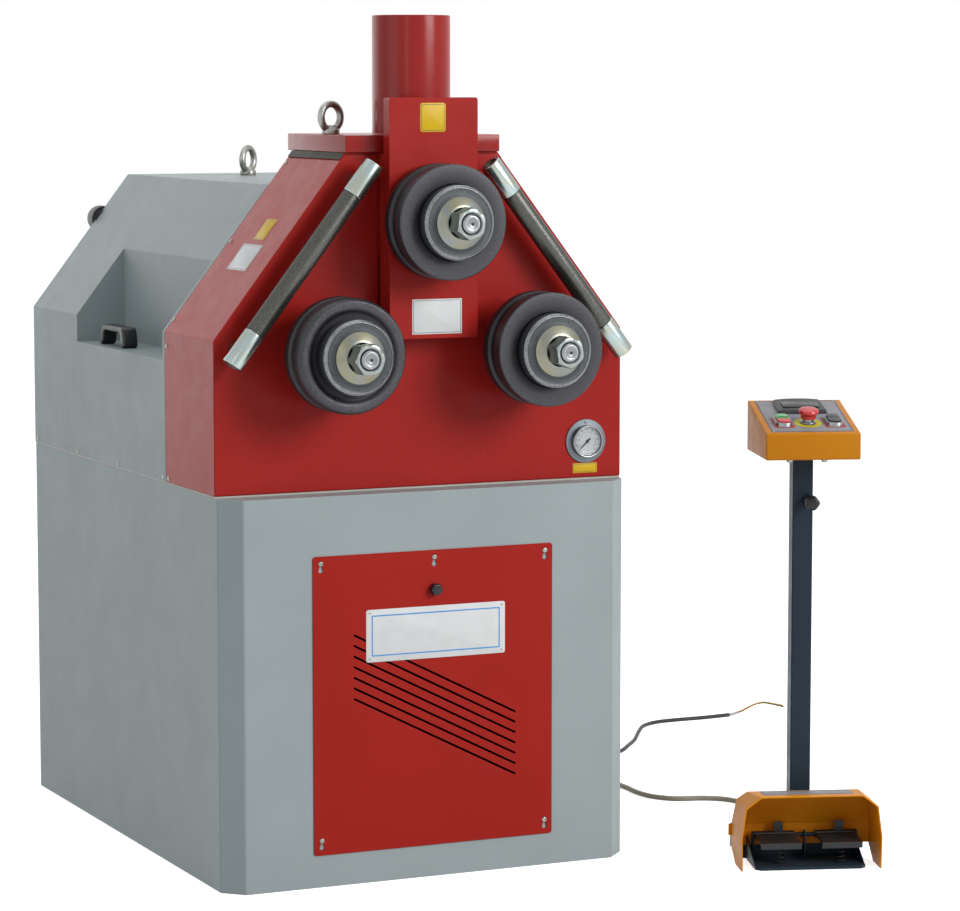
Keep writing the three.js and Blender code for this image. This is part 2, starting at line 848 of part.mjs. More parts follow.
// Frame: two gabled plates, foot plate, crown plate and the rails that the ram runs between
function rollFrame() {
  const f = frame;
  const fit = head.sheet + seat;
  const bottom = cabinet.height + seat;
  const crownBottom = cover.sideTop + seat;
  const top = crownBottom + f.crown;
  const outline = gable(fit, bottom, crownBottom + f.crown / 2);
  const plates = [f.frontPlate, f.rearPlate].map((y) => drawnBack(outline, y, y + f.plate));
  const back = f.back;
  const footPlate = block(
    [-head.halfWidth + fit, f.frontPlate, bottom],
    [head.halfWidth - fit, back, bottom + f.foot],
  );
  const crown = drawnBack(gable(0, crownBottom, top), cover.front + head.sheet + seat, back);
  const slotHalf = ram.blockHalf + f.slideFit;
  const slotBottom = cover.slotBottom - f.slotFloor;
  const rails = [-1, 1].map((side) => {
    const [near, far] = [side * slotHalf, side * (slotHalf + f.railWidth)].sort((a, b) => a - b);
    return block(
      [near, f.frontPlate + f.plate / 2, slotBottom],
      [far, f.rearPlate + f.plate / 2, crownBottom + f.crown / 2],
    );
  });
  const slot = block([-slotHalf, -overrun, slotBottom], [slotHalf, back + overrun, crownBottom]);
  const bore = turned(disc(bearing.outer / 2 + seat, f.frontPlate - overrun, back + overrun), round.fine);
  const bores = [-shafts.spread, shafts.spread].map((x) => bore.clone().translate(x, 0, shafts.low));
  const sight = turned(
    disc((gauge.body * f.gaugeShare) / 2, f.frontPlate - overrun, f.frontPlate + f.plate + overrun),
    round.middle,
  );
  const rodHole = turnedUp(
    disc(cylinder.rod / 2 + cylinder.rodFit, crownBottom - overrun, top + overrun),
    round.middle,
  );
  const whole = join(plates[0], plates[1], footPlate, crown, ...rails);
  const holes = [...bores, sight.translate(gauge.x, 0, gauge.z), rodHole.translate(0, cylinder.axis, 0)];
  return piece('frame', cut(whole, slot, ...holes), 'plateSteel');
}

// Cylinder barrel welded to the roof plate that hangs it over the ram
const roofBottom = cover.sideTop + seat + frame.crown + seat;
const roofTop = roofBottom + cylinder.roofThick;
function pressCylinder() {
  const c = cylinder;
  const top = roofTop + c.height;
  const plate = block([-c.roofHalf, c.roofFront, roofBottom], [c.roofHalf, c.roofBack, roofTop]);
  const outer = c.outer / 2;
  const profile = [
    [0, roofTop - c.roofThick / 2],
    [outer, roofTop - c.roofThick / 2],
    [outer, top - c.lip],
    [outer - c.lip, top],
    [0, top],
  ];
  const barrel = turnedUp(profile, round.fine).translate(0, c.axis, 0);
  const rodHole = c.rod / 2 + c.rodFit;
  const inner = [
    [0, roofBottom - overrun],
    [rodHole, roofBottom - overrun],
    [rodHole, roofTop],
    [c.bore / 2, roofTop],
  ];
  inner.push([c.bore / 2, top - c.cap], [0, top - c.cap]);
  const bore = turnedUp(inner, round.fine).translate(0, c.axis, 0);
  const eyeHole = turnedUp(
    disc(bored(eye.shank / 2, round.small), roofTop - eye.shankLength - seat, roofTop + overrun),
    round.small,
  );
  const whole = cut(join(plate, barrel), bore, eyeHole.translate(eye.frontX, eye.frontY, 0));
  return piece('press_cylinder', whole, 'redPaint');
}
function pistonRod() {
  const c = cylinder;
  const top = roofTop + c.height - c.cap - seat;
  const rod = c.rod / 2;
  const piston = c.bore / 2 - seat;
  const profile = [
    [0, ram.blockTop + seat],
    [rod, ram.blockTop + seat],
    [rod, top - c.piston],
    [piston, top - c.piston],
  ];
  profile.push([piston, top], [0, top]);
  return piece('piston_rod', turnedUp(profile, round.fine).translate(0, c.axis, 0), 'turnedSteel');
}

// Ram: slide block with its face plate, bored for the top shaft
function ramSlide() {
  const r = ram;
  const middle = (r.faceBottom + r.faceTop) / 2;
  const outline = roundedRectangle(r.faceHalf, (r.faceTop - r.faceBottom) / 2, r.edge);
  const face = drawnBack(outline, r.faceFront, r.faceFront + r.faceThick).translate(0, 0, middle);
  const slide = block(
    [-r.blockHalf, r.faceFront + r.faceThick / 2, r.blockBottom],
    [r.blockHalf, r.blockBack, r.blockTop],
  );
  const wide = bearing.outer / 2 + seat;
  const narrow = shaft.shoulder / 2 + 2 * frame.slideFit;
  const profile = [
    [0, r.faceFront - overrun],
    [narrow, r.faceFront - overrun],
    [narrow, shaft.shoulderBack],
  ];
  profile.push([wide, shaft.shoulderBack], [wide, r.blockBack + overrun], [0, r.blockBack + overrun]);
  const bore = turned(profile, round.fine).translate(0, 0, shafts.high);
  return piece('ram', cut(join(face, slide), bore), 'redPaint');
}

// Bearing cartridges round the shafts
function bearingCartridge(name, x, z, back) {
  const inner = shaft.seat / 2 + seat;
  const form = turned(ring(inner, bearing.outer / 2, shaft.shoulderBack + seat, back), round.fine);
  const mesh = piece(name, form, 'turnedSteel');
  mesh.position.set(x, 0, z);
  return mesh;
}

// One roll set: keyed shaft, flanged roll, collar and clamp nut on one axis
function rollShaft(name) {
  const s = shaft;
  const hole = s.centreHole / 2;
  const profile = [
    [0, s.tip + s.centreDepth],
    [hole, s.tip + s.centreDepth - hole],
    [hole, s.tip],
    [s.thread / 2 - s.tipChamfer, s.tip],
    [s.thread / 2, s.tip + s.tipChamfer],
    [s.thread / 2, nut.coneFront],
    [s.seat / 2, nut.coneFront],
    [s.seat / 2, roll.back + seat],
    [s.shoulder / 2, roll.back + seat],
    [s.shoulder / 2, s.shoulderBack],
    [s.seat / 2, s.shoulderBack],
    [s.seat / 2, s.tailStart],
    [s.tail / 2, s.tailStart],
    [s.tail / 2, s.tailEnd],
    [0, s.tailEnd],
  ];
  const half = s.keyWidth / 2;
  const key = block(
    [-half, collar.back + s.keyEnds, 0],
    [half, roll.back - s.keyEnds, s.seat / 2 + s.keyProud],
  );
  return piece(name, join(turned(profile, round.middle), key), 'turnedSteel');
}
function bendingRoll(name) {
  const r = roll;
  const outer = r.diameter / 2;
  const groove = outer - r.grooveDepth;
  const hub = collar.diameter / 2 + 2 * seat;
  const bore = shaft.seat / 2 + seat;
  const grooveFront = r.front + r.frontFlange;
  const grooveBack = r.back - r.backFlange;
  const profile = [
    [bore, r.front + r.dish],
    [hub, r.front + r.dish],
    [outer - r.dishRim - r.dish, r.front + r.dish],
  ];
  profile.push([outer - r.dishRim, r.front]);
  for (let i = 0; i <= round.rim; i += 1) {
    const angle = (Math.PI / 2) * (i / round.rim);
    profile.push([outer - r.rim + r.rim * Math.sin(angle), r.front + r.rim - r.rim * Math.cos(angle)]);
  }
  profile.push(
    [outer, grooveFront],
    [groove, grooveFront + r.grooveSlope],
    [groove, grooveBack - r.grooveSlope],
  );
  profile.push([outer, grooveBack], [outer, r.back - r.dish], [outer - r.dish, r.back], [bore, r.back]);
  profile.push([bore, r.front + r.dish]);
  const half = shaft.keyWidth / 2 + seat;
  const keyway = block(
    [-half, r.front - overrun, 0],
    [half, r.back + overrun, shaft.seat / 2 + shaft.keyProud + seat],
  );
  return piece(name, cut(turned(profile, round.fine), keyway), 'darkSteel');
}
function rollCollar(name) {
  const c = collar;
  const inner = shaft.seat / 2 + seat;
  const outer = c.diameter / 2;
  const back = c.back - seat;
  const profile = [
    [inner, c.front],
    [outer - c.chamfer, c.front],
    [outer, c.front + c.chamfer],
    [outer, back],
    [inner, back],
    [inner, c.front],
  ];
  return piece(name, turned(profile, round.fine), 'darkSteel');
}
function clampNut(name) {
  const n = nut;
  const back = collar.front - seat;
  const bore = shaft.thread / 2 + seat;
  const reach = n.acrossFlats / 2 / Math.cos(Math.PI / n.flats);
  const cone = [
    [0, back],
    [n.flange / 2, back],
    [n.flange / 2, back - n.edge],
    [n.coneTop / 2, n.coneFront],
    [0, n.coneFront],
  ];
  const corners = Array.from({ length: n.flats }, (_, i) => {
    const angle = ((2 * i + 1) * Math.PI) / n.flats;
    return [reach * Math.cos(angle), reach * Math.sin(angle)];
  });
  const hexagon = drawnBack(inPlane(corners), n.front, back - n.edge);
  const slope = reach - n.acrossFlats / 2;
  const inner = n.acrossFlats / 2;
  const dome = turned(
    [[0, n.front], [inner, n.front], [reach, n.front + slope], [reach, back], [0, back]],
    round.middle,
  );
  const seatBore = [[0, n.front - overrun], [bore, n.front - overrun], [bore, n.coneFront - seat]];
  seatBore.push(
    [shaft.seat / 2 + seat, n.coneFront - seat],
    [shaft.seat / 2 + seat, back + overrun],
    [0, back + overrun],
  );
  const solid = join(turned(cone, round.fine), common(hexagon, dome));
  return piece(name, cut(solid, turned(seatBore, round.middle)), 'zinc');
}
function rollSet(side, x, z) {
  const set = group(rollShaft(`${side}_shaft`), bendingRoll(`${side}_roll`));
  set.add(rollCollar(`${side}_collar`), clampNut(`${side}_clamp_nut`));
  set.position.set(x, 0, z);
  return set;
}

// Hydraulic drives behind the frame: one on the ram, one gearbox across both lower shafts
// Stepped socket that a shaft and its thinner tail turn in
function tailSocket(front) {
  const wide = bored(shaft.seat / 2, round.middle);
  const narrow = bored(shaft.tail / 2, round.middle);
  const step = shaft.tailStart + seat;
  const end = shaft.tailEnd + seat;
  const profile = [[0, front - overrun], [wide, front - overrun], [wide, step], [narrow, step]];
  profile.push([narrow, end], [0, end]);
  return turned(profile, round.middle);
}
function topDrive() {
  const d = drive;
  const front = ram.blockBack + seat;
  const outer = bearing.outer / 2;
  const body = d.top / 2;
  const profile = [
    [0, front],
    [outer, front],
    [outer, front + d.topFlange],
    [body - d.topFlange / 2, front + 2 * d.topFlange],
  ];
  profile.push(
    [body - d.topFlange / 2, front + d.topLength - d.topCapLength],
    [d.topCap / 2, front + d.topLength - d.topCapLength],
  );
  profile.push([d.topCap / 2, front + d.topLength], [0, front + d.topLength]);
  const form = cut(turned(profile, round.middle), tailSocket(front));
  const mesh = piece('top_drive', form, 'plateSteel');
  mesh.position.z = shafts.high;
  return mesh;
}
function lowerGearbox() {
  const d = drive;
  const front = frame.back + seat;
  const back = front + d.gearboxDepth;
  const ends = [-shafts.spread, shafts.spread].map((x) => turned(
    disc(d.gearbox / 2, front, back),
    round.middle,
  ).translate(x, 0, 0));
  const trunk = block([-shafts.spread, front, -d.trunkBottom], [shafts.spread, back, d.trunkTop]);
  const motor = turned(
    disc(d.motor / 2, back - overrun, back + d.motorLength),
    round.middle,
  ).translate(0, 0, -d.motorDrop);
  const bores = [-shafts.spread, shafts.spread].map((x) => tailSocket(front).translate(x, 0, 0));
  const mesh = piece('lower_gearbox', cut(join(trunk, ...ends, motor), ...bores), 'plateSteel');
  mesh.position.z = shafts.low;
  return mesh;
}

// Guide bars: a dark bar between two zinc sleeves, each sleeve on a short post to the cover
function guideSleeve(name, from) {
  const g = guide;
  const outer = g.sleeve / 2;
  const to = from + g.sleeveLength;
  const profile = [
    [0, from],
    [outer - g.chamfer, from],
    [outer, from + g.chamfer],
    [outer, to - g.chamfer],
    [outer - g.chamfer, to],
    [0, to],
  ];
  const standoff = turned(
    disc(g.post / 2, 0, cover.front - seat),
    round.small,
  ).translate(0, 0, (from + to) / 2);
  const bore = turnedUp(disc(bored(g.spigot / 2, round.small), from - overrun, to + overrun), round.small);
  return piece(name, cut(join(turnedUp(profile, round.middle), standoff), bore), 'zinc');
}
function guideBar(side, mirror) {
  const g = guide;
  const run = g.lowX - g.highX;
  const rise = g.highZ - g.lowZ;
  const length = Math.hypot(run, rise);
  const spigot = g.spigot / 2;
  const low = g.sleeveLength + seat;
  const high = length - g.sleeveLength - seat;
  const profile = [
    [0, g.recess],
    [spigot, g.recess],
    [spigot, low],
    [g.bar / 2, low],
    [g.bar / 2, high],
    [spigot, high],
  ];
  profile.push([spigot, length - g.recess], [0, length - g.recess]);
  const set = group(piece(`${side}_guide_bar`, turnedUp(profile, round.middle), 'darkSteel'));
  set.add(
    guideSleeve(`${side}_lower_sleeve`, 0),
    guideSleeve(`${side}_upper_sleeve`, length - g.sleeveLength),
  );
  set.position.set(mirror * g.lowX, 0, g.lowZ);
  set.rotation.y = -mirror * Math.atan2(run, rise);
  return set;
}

// Pressure gauge in the cover's corner
function gaugeSet() {
  const g = gauge;
  const seatFace = cover.front - seat;
  const flangeFront = seatFace - g.flangeThick;
  const front = flangeFront - g.bezelDepth;
  const dial = front + g.recess;
  const back = seatFace + g.bodyDepth;
  const window = g.window / 2;
  const lens = g.lens / 2 + seat;
  const lensFront = front + g.glassInset;
  const lensBack = lensFront + g.glass + 2 * seat;
  const profile = [
    [0, dial],
    [window, dial],
    [window, lensBack],
    [lens, lensBack],
    [lens, lensFront],
    [window, lensFront],
    [window, front],
  ];
  profile.push(
    [g.bezel / 2, front],
    [g.bezel / 2, flangeFront],
    [g.flange / 2, flangeFront],
    [g.flange / 2, seatFace],
  );
  profile.push(
    [g.body / 2, seatFace],
    [g.body / 2, back],
    [g.stem / 2, back],
    [g.stem / 2, back + g.stemLength],
    [0, back + g.stemLength],
  );
  const glass = turned(disc(g.lens / 2, lensFront + seat, lensFront + seat + g.glass), round.middle);
  const needleBack = dial - seat - g.hubDepth / 2;
  const half = g.needleWidth / 2;
  const hand = inPlane(
    [
      [-half, -g.needleTail],
      [half, -g.needleTail],
      [half / 2, g.needleLength],
      [-half / 2, g.needleLength],
    ],
  );
  const hub = turned(disc(g.hub / 2, dial - seat - g.hubDepth, dial - seat), round.small);
  const needle = piece(
    'gauge_needle',
    join(drawnBack(hand, needleBack - g.needleThick, needleBack), hub),
    'blackPlastic',
  );
  needle.rotation.y = -THREE.MathUtils.degToRad(g.pointing);
  const set = group(
    piece('gauge_case', turned(profile, round.middle), 'zinc'),
    piece('gauge_glass', glass, 'glass'),
    needle,
  );
  set.position.set(g.x, 0, g.z);
  return set;
}

// Forged eye bolt: ring over a collar, shank below the seat
function eyeBolt(name, x, y, z, turnDegrees) {
  const e = eye;
  const tube = (e.ring - e.hole) / 4;
  const loop = new THREE.TorusGeometry(
    e.hole / 2 + tube,
    tube,
    round.loop,
    round.middle,
  ).rotateX(Math.PI / 2);
  loop.translate(0, 0, e.clear + e.ring / 2);
  const profile = [
    [0, -e.shankLength],
    [e.shank / 2, -e.shankLength],
    [e.shank / 2, 0],
    [e.collar / 2, 0],
    [e.collar / 2, e.collarHeight],
  ];
  profile.push([e.neck / 2, e.neckTop], [0, e.neckTop]);
  const mesh = piece(name, join(turnedUp(profile, round.small), loop), 'zinc');
  mesh.position.set(x, y, z + seat);
  mesh.rotation.z = THREE.MathUtils.degToRad(turnDegrees);
  return mesh;
}

// Bridge handle on the tray's floor
function recessHandle() {
  const g = grip;
  const shape = new THREE.Shape();
  const half = g.length / 2;
  const inner = half - g.leg;
  shape.moveTo(-half - g.flare, 0);
  shape.lineTo(-half, g.height - g.corner);
  shape.absarc(-half + g.corner, g.height - g.corner, g.corner, Math.PI, Math.PI / 2, true);
  shape.lineTo(half - g.corner, g.height);
  shape.absarc(half - g.corner, g.height - g.corner, g.corner, Math.PI / 2, 0, true);
  shape.lineTo(half + g.flare, 0);
  shape.lineTo(inner, 0);
  shape.lineTo(inner - g.flare, g.height - g.bar);
  shape.lineTo(-inner + g.flare, g.height - g.bar);
  shape.lineTo(-inner, 0);
  const form = drawnAcross(shape, 0, g.width);
  const mesh = piece('recess_handle', form, 'blackPlastic');
  const middle = cover.back + housing.trayFront + g.setback + half;
  mesh.position.set(g.inset - head.halfWidth, middle, housing.trayFloor + seat);
  return mesh;
}
function rearWallCap() {
  const c = rearCap;
  const face = housing.back + seat;
  const outer = c.diameter / 2;
  const profile = [
    [0, face - c.spigotLength],
    [c.spigot / 2, face - c.spigotLength],
    [c.spigot / 2, face],
    [outer, face],
  ];
  profile.push([outer, face + c.depth - c.dome], [outer - c.dome, face + c.depth], [0, face + c.depth]);
  const mesh = piece('rear_cap', turned(profile, round.middle), 'blackPlastic');
  mesh.position.set(capX, 0, capZ);
  return mesh;
}

// Oil tank with its lid, pump motor and valve block, standing on the cabinet's floor
function powerPack() {
  const p = pack;
  const floor = cabinet.floor + seat;
  const half = p.width / 2;
  const lidTop = floor + p.height + p.lid;
  const middle = p.front + p.depth / 2;
  const tank = block([-half, p.front, floor], [half, p.front + p.depth, floor + p.height]);
  const lid = block(
    [-half - p.lidOut, p.front - p.lidOut, lidTop - p.lid],
    [half + p.lidOut, p.front + p.depth + p.lidOut, lidTop],
  );
  const motorTop = lidTop + p.motorHeight;
  const profile = [
    [0, lidTop - p.lid],
    [p.motor / 2, lidTop - p.lid],
    [p.motor / 2, motorTop],
    [p.fan / 2, motorTop],
  ];
  profile.push([p.fan / 2, motorTop + p.fanHeight], [0, motorTop + p.fanHeight]);
  const motor = turnedUp(profile, round.middle).translate(p.motorX, middle, 0);
  const valves = block(
    [p.blockX - p.block / 2, middle - p.block / 2, lidTop - p.lid],
    [p.blockX + p.block / 2, middle + p.block / 2, lidTop + p.blockHeight],
  );
  return piece('power_pack', join(tank, lid, motor, valves), 'darkPaint');
}
function electricalBox() {
  const e = electric;
  const wall = -cabinet.width / 2 + cabinet.wall + seat;
  const top = cabinet.height - e.drop;
  const bottom = top - e.height;
  const body = block([wall, e.front, bottom], [wall + e.width, e.front + e.depth, top]);
  const door = block(
    [wall + e.width - e.doorOut, e.front + e.doorEdge, bottom + e.doorEdge],
    [wall + e.width + e.doorOut, e.front + e.depth - e.doorEdge, top - e.doorEdge],
  );
  return piece('electrical_box', join(body, door), 'greyPaint');
}

// A cable gland pointing along +X: hexagon and domed nut
function gland(hex, hexDepth, dome, domeDepth) {
  const reach = hex / 2 / Math.cos(Math.PI / outlet.flats);
  const corners = Array.from({ length: outlet.flats }, (_, i) => {
    const angle = (2 * i * Math.PI) / outlet.flats;
    return [reach * Math.cos(angle), reach * Math.sin(angle)];
  });
  const body = drawnAcross(inPlane(corners), 0, hexDepth);
  const nose = dome / 2;
  const end = hexDepth + domeDepth;
  const profile = [
    [0, hexDepth / 2],
    [nose, hexDepth / 2],
    [nose, end - nose / 2],
    [nose - nose / 4, end],
    [0, end],
  ];
  return join(body, turnedUp(profile, round.small).rotateY(Math.PI / 2));
}
function glandPlate() {
  const o = outlet;
  const wall = cabinet.width / 2 + seat;
  const low = [wall, o.back - o.margin, o.controlZ - o.margin];
  const high = [wall + o.thick, o.leadBack + o.margin, o.leadZ + o.margin];
  const control = gland(
    o.hex,
    o.hexDepth,
    o.dome,
    o.domeDepth,
  ).translate(wall + o.thick - weld, o.back, o.controlZ);
  const lead = gland(
    o.hex,
    o.hexDepth,
    o.dome,
    o.domeDepth,
  ).translate(wall + o.thick - weld, o.leadBack, o.leadZ);
  return piece('gland_plate', join(block(low, high), control, lead), 'blackPlastic');
}

// A cord: a round section carried along a smooth curve through its route
function cord(name, { diameter, sides, steps, route }, finish) {
  const points = route.map((point) => new THREE.Vector3(...point));
  const path = new THREE.CatmullRomCurve3(points, false, 'centripetal');
  const section = inPlane(
    Array.from({ length: sides }, (_, i) => {
      const angle = (2 * Math.PI * i) / sides;
      return [(diameter / 2) * Math.cos(angle), (diameter / 2) * Math.sin(angle)];
    }),
  );
  return piece(name, new THREE.ExtrudeGeometry(section, { extrudePath: path, steps }), finish);
}

// Pedestal base: floor plate, solid box round the post's foot and the pedals' hinge rod
function pedestalBase() {
  const f = foot;
  const c = f.chamfer;
  const plan = [[-f.half + c, f.front], [f.half - c, f.front], [f.half, f.front + c], [f.half, f.boxFront]];
  plan.push([f.boxHalf, f.boxFront], [f.boxHalf, f.back], [-f.boxHalf, f.back], [-f.boxHalf, f.boxFront]);
  plan.push([-f.half, f.boxFront], [-f.half, f.front + c]);
  const plate = raised(inPlane(plan), 0, f.thick);
  const weight = block([-f.boxHalf, f.boxFront, f.thick / 2], [f.boxHalf, f.back, f.boxTop]);
  const socket = post.side / 2 + seat;
  const hole = block([-socket, -socket, f.thick], [socket, socket, f.boxTop + overrun]);
  const rodLeft = pedal.leftCentre - pedal.width / 2 - f.earGap - f.ear;
  const rodRight = pedal.rightCentre + pedal.width / 2 + f.earGap + f.ear;
  const rod = turnedUp(
    disc(f.rod / 2, rodLeft, rodRight),
    round.small,
  ).rotateY(Math.PI / 2).translate(0, f.hingeY, f.hingeZ);
  const earFront = f.hingeY - f.earWidth / 2;
  const ears = [rodLeft, (rodLeft + rodRight - f.ear) / 2, rodRight - f.ear].map((x) =>
    block([x, earFront, f.thick / 2], [x + f.ear, earFront + f.earWidth, f.hingeZ + f.earTop]));
  const joint = f.boxFront + weld;
  const clear = { back: hood.back - hood.wall - seat, top: hood.backBottom - hood.wall };
  const slope = [[f.front + c, f.thick / 2], [joint, f.thick / 2], [joint, clear.top]];
  const cheekShape = inPlane([...slope, [clear.back, clear.top], [clear.back, f.boxTop]]);
  for (const x of [-f.half, f.half - f.cheek]) ears.push(drawnAcross(cheekShape, x, x + f.cheek));
  const inlet = gland(f.gland, f.glandLength / 3, f.gland, (2 * f.glandLength) / 3).rotateZ(Math.PI / 2);
  inlet.translate(0, f.back - weld, f.glandZ);
  return piece('pedestal_base', cut(join(plate, weight, rod, ...ears, inlet), hole), 'darkPaint');
}

// Pedal: ribbed tread with a turned-down nose, a barrel on the hinge rod and an upright tab
function footPedal(name, centre) {
  const p = pedal;
  const half = p.width / 2;
  const rear = foot.hingeY;
  const slope = Math.atan2(p.rearZ - p.thick - p.frontZ, rear - p.front);
  const tread = [
    [p.front, p.frontZ],
    [rear, p.rearZ - p.thick],
    [rear, p.rearZ],
    [p.front, p.frontZ + p.thick],
  ];
  const plate = drawnAcross(inPlane(tread), -half, half);
  const nose = block(
    [-half, p.front - p.thick, p.frontZ - p.nose],
    [half, p.front + seat, p.frontZ + p.thick],
  );
  const barrel = turnedUp(
    disc(p.barrel / 2, -half, half),
    round.small,
  ).rotateY(Math.PI / 2).translate(0, rear, foot.hingeZ);
  const tab = block(
    [p.tabShift - p.tabHalf, rear - p.tabThick, p.rearZ - p.thick],
    [p.tabShift + p.tabHalf, rear, foot.hingeZ + p.tabRise],
  );
  const pitch = (rear - p.front) / (p.ribs + 2);
  const ribs = Array.from({ length: p.ribs }, (_, i) => {
    const rib = block([-half + p.ribWidth, 0, -p.ribWidth], [half - p.ribWidth, p.ribWidth, p.ribHeight]);
    return rib.rotateX(slope).translate(
      0,
      p.front + (i + 1) * pitch,
      p.frontZ + p.thick + (i + 1) * pitch * Math.tan(slope),
    );
  });
  const bore = turnedUp(
    disc(bored(foot.rod / 2, round.small), -half - overrun, half + overrun),
    round.small,
  ).rotateY(Math.PI / 2);
  const form = cut(join(plate, nose, barrel, tab, ...ribs), bore.translate(0, rear, foot.hingeZ));
  const mesh = piece(name, form, 'blackPlastic');
  mesh.position.x = centre;
  return mesh;
}

// Return spring under a pedal: one wire wound upwards, with upright ends
function returnSpring(name, centre) {
  const s = spring;
  const y = pedal.front + s.setback;
  const low = foot.thick + seat;
  const grade = (pedal.rearZ - pedal.thick - pedal.frontZ) / (foot.hingeY - pedal.front);
  const high = pedal.frontZ + s.setback * grade - seat;
  const start = low + 1.5 * s.wire;
  const rise = high - low - 3 * s.wire;
  const count = s.turns * s.steps;
  const points = [[s.mean, 0, low], [s.mean, 0, low + s.wire]];
  for (let i = 1; i < count; i += 1) {
    const angle = (2 * Math.PI * i) / s.steps;
    points.push([s.mean * Math.cos(angle), s.mean * Math.sin(angle), start + (rise * i) / count]);
  }
  points.push([s.mean, 0, high - s.wire], [s.mean, 0, high]);
  const wire = points.map((point) => new THREE.Vector3(...point));
  const path = new THREE.CatmullRomCurve3(wire, false, 'centripetal');
  const section = inPlane(
    Array.from({ length: s.sides }, (_, i) => {
      const angle = (2 * Math.PI * i) / s.sides;
      return [(s.wire / 2) * Math.cos(angle), (s.wire / 2) * Math.sin(angle)];
    }),
  );
  const form = new THREE.ExtrudeGeometry(section, { extrudePath: path, steps: wire.length - 1 });
  const apart = s.steps / 2;
  let least = Infinity;
  wire.forEach((a, i) => wire.slice(i + apart).forEach((b) => {
    least = Math.min(least, a.distanceTo(b) - s.wire);
  }));
  console.log(`${name}: least gap between turns ${least.toFixed(2)} mm`);
  const mesh = piece(name, form, 'turnedSteel');
  mesh.position.set(centre, y, 0);
  return mesh;
}

// Pedal hood: one moulded shell, arched across, sloping down at the back, open in front and below
function pedalHood() {
  const h = hood;
  const arch = (inset, bottom) => {
    const right = [
      [h.half - inset, bottom],
      [h.bulge - inset, h.bulgeZ],
      [h.shoulder - inset, h.shoulderZ - inset / 2],
    ];
    right.push([h.topHalf - inset / 2, h.top - inset]);
    return inPlane([...right, ...right.map(([x, z]) => [-x, z]).reverse()]);
  };
  const profile = [
    [h.front, 0],
    [h.skirtBack, 0],
    [h.back, h.backBottom],
    [h.back, h.backTop],
    [h.topBack, h.top - h.topDrop],
    [h.front, h.top],
  ];
  const w = h.wall;
  const inner = [[h.front - overrun, -overrun], [h.back - w, -overrun], [h.back - w, h.backTop - w / 2]];
  inner.push([h.topBack - w / 2, h.top - h.topDrop - w], [h.front - overrun, h.top - w / 2]);
  const outside = common(
    drawnBack(arch(0, 0), h.front, h.back),
    drawnAcross(inPlane(profile), -h.bulge - overrun, h.bulge + overrun),
  );
  const inside = common(
    drawnBack(arch(w, -overrun), h.front - overrun, h.back),
    drawnAcross(inPlane(inner), -h.bulge, h.bulge),
  );
  const ears = [-1, 1].map((side) => {
    const [near, far] = [side * (h.bulge - w), side * (h.bulge + h.earOut)].sort((a, b) => a - b);
    return block([near, h.back - h.earDepth, h.earBottom], [far, h.back, h.earTop]);
  });
  return piece('pedal_hood', join(cut(outside, inside), ...ears), 'orangePaint');
}

// Square post with the boss for its clamp knob
function squareTube(half, wall, corner, from, to) {
  const outer = raised(roundedRectangle(half, half, corner), from, to);
  const bore = raised(roundedRectangle(half - wall, half - wall, corner / 2), from - overrun, to + overrun);
  return cut(outer, bore);
}
function controlPost() {
  const p = post;
  const half = p.side / 2;
  const tube = squareTube(half, p.wall, p.corner, foot.thick + seat, p.top);
  const bossForm = turned(disc(p.boss / 2, -half - p.bossLength, -half + p.wall / 2), round.small);
  const hole = turned(
    disc(bored(clampKnob.stud / 2, round.small), -half - p.bossLength - overrun, -half + p.wall + overrun),
    round.small,
  );
  const form = cut(
    join(tube, bossForm.translate(p.bossX, 0, p.bossZ)),
    hole.translate(p.bossX, 0, p.bossZ),
  );
  return piece('post', form, 'darkPaint');
}
function postKnob() {
  const k = clampKnob;
  const back = -post.side / 2 - post.bossLength - seat;
  const neckFront = back - k.neckLength;
  const soft = { bevelSize: k.bevel, bevelThickness: k.bevel, bevelSegments: 1, curveSegments: round.arc };
  const outline = lobedOutline(k.diameter / 2 - k.bevel, k.lobes, k.lobeShare);
  const grip = drawnBack(outline, neckFront - k.depth + k.bevel, neckFront - k.bevel, soft);
  const neck = turned(disc(k.neck / 2, neckFront - k.bevel, back), round.small);
  const studEnd = -box.stem / 2 - seat;
  const stud = turned(disc(k.stud / 2, back - k.bevel, studEnd), round.small);
  const mesh = piece('post_knob', join(grip, neck, stud), 'blackPlastic');
  mesh.position.set(post.bossX, 0, post.bossZ);
  return mesh;
}

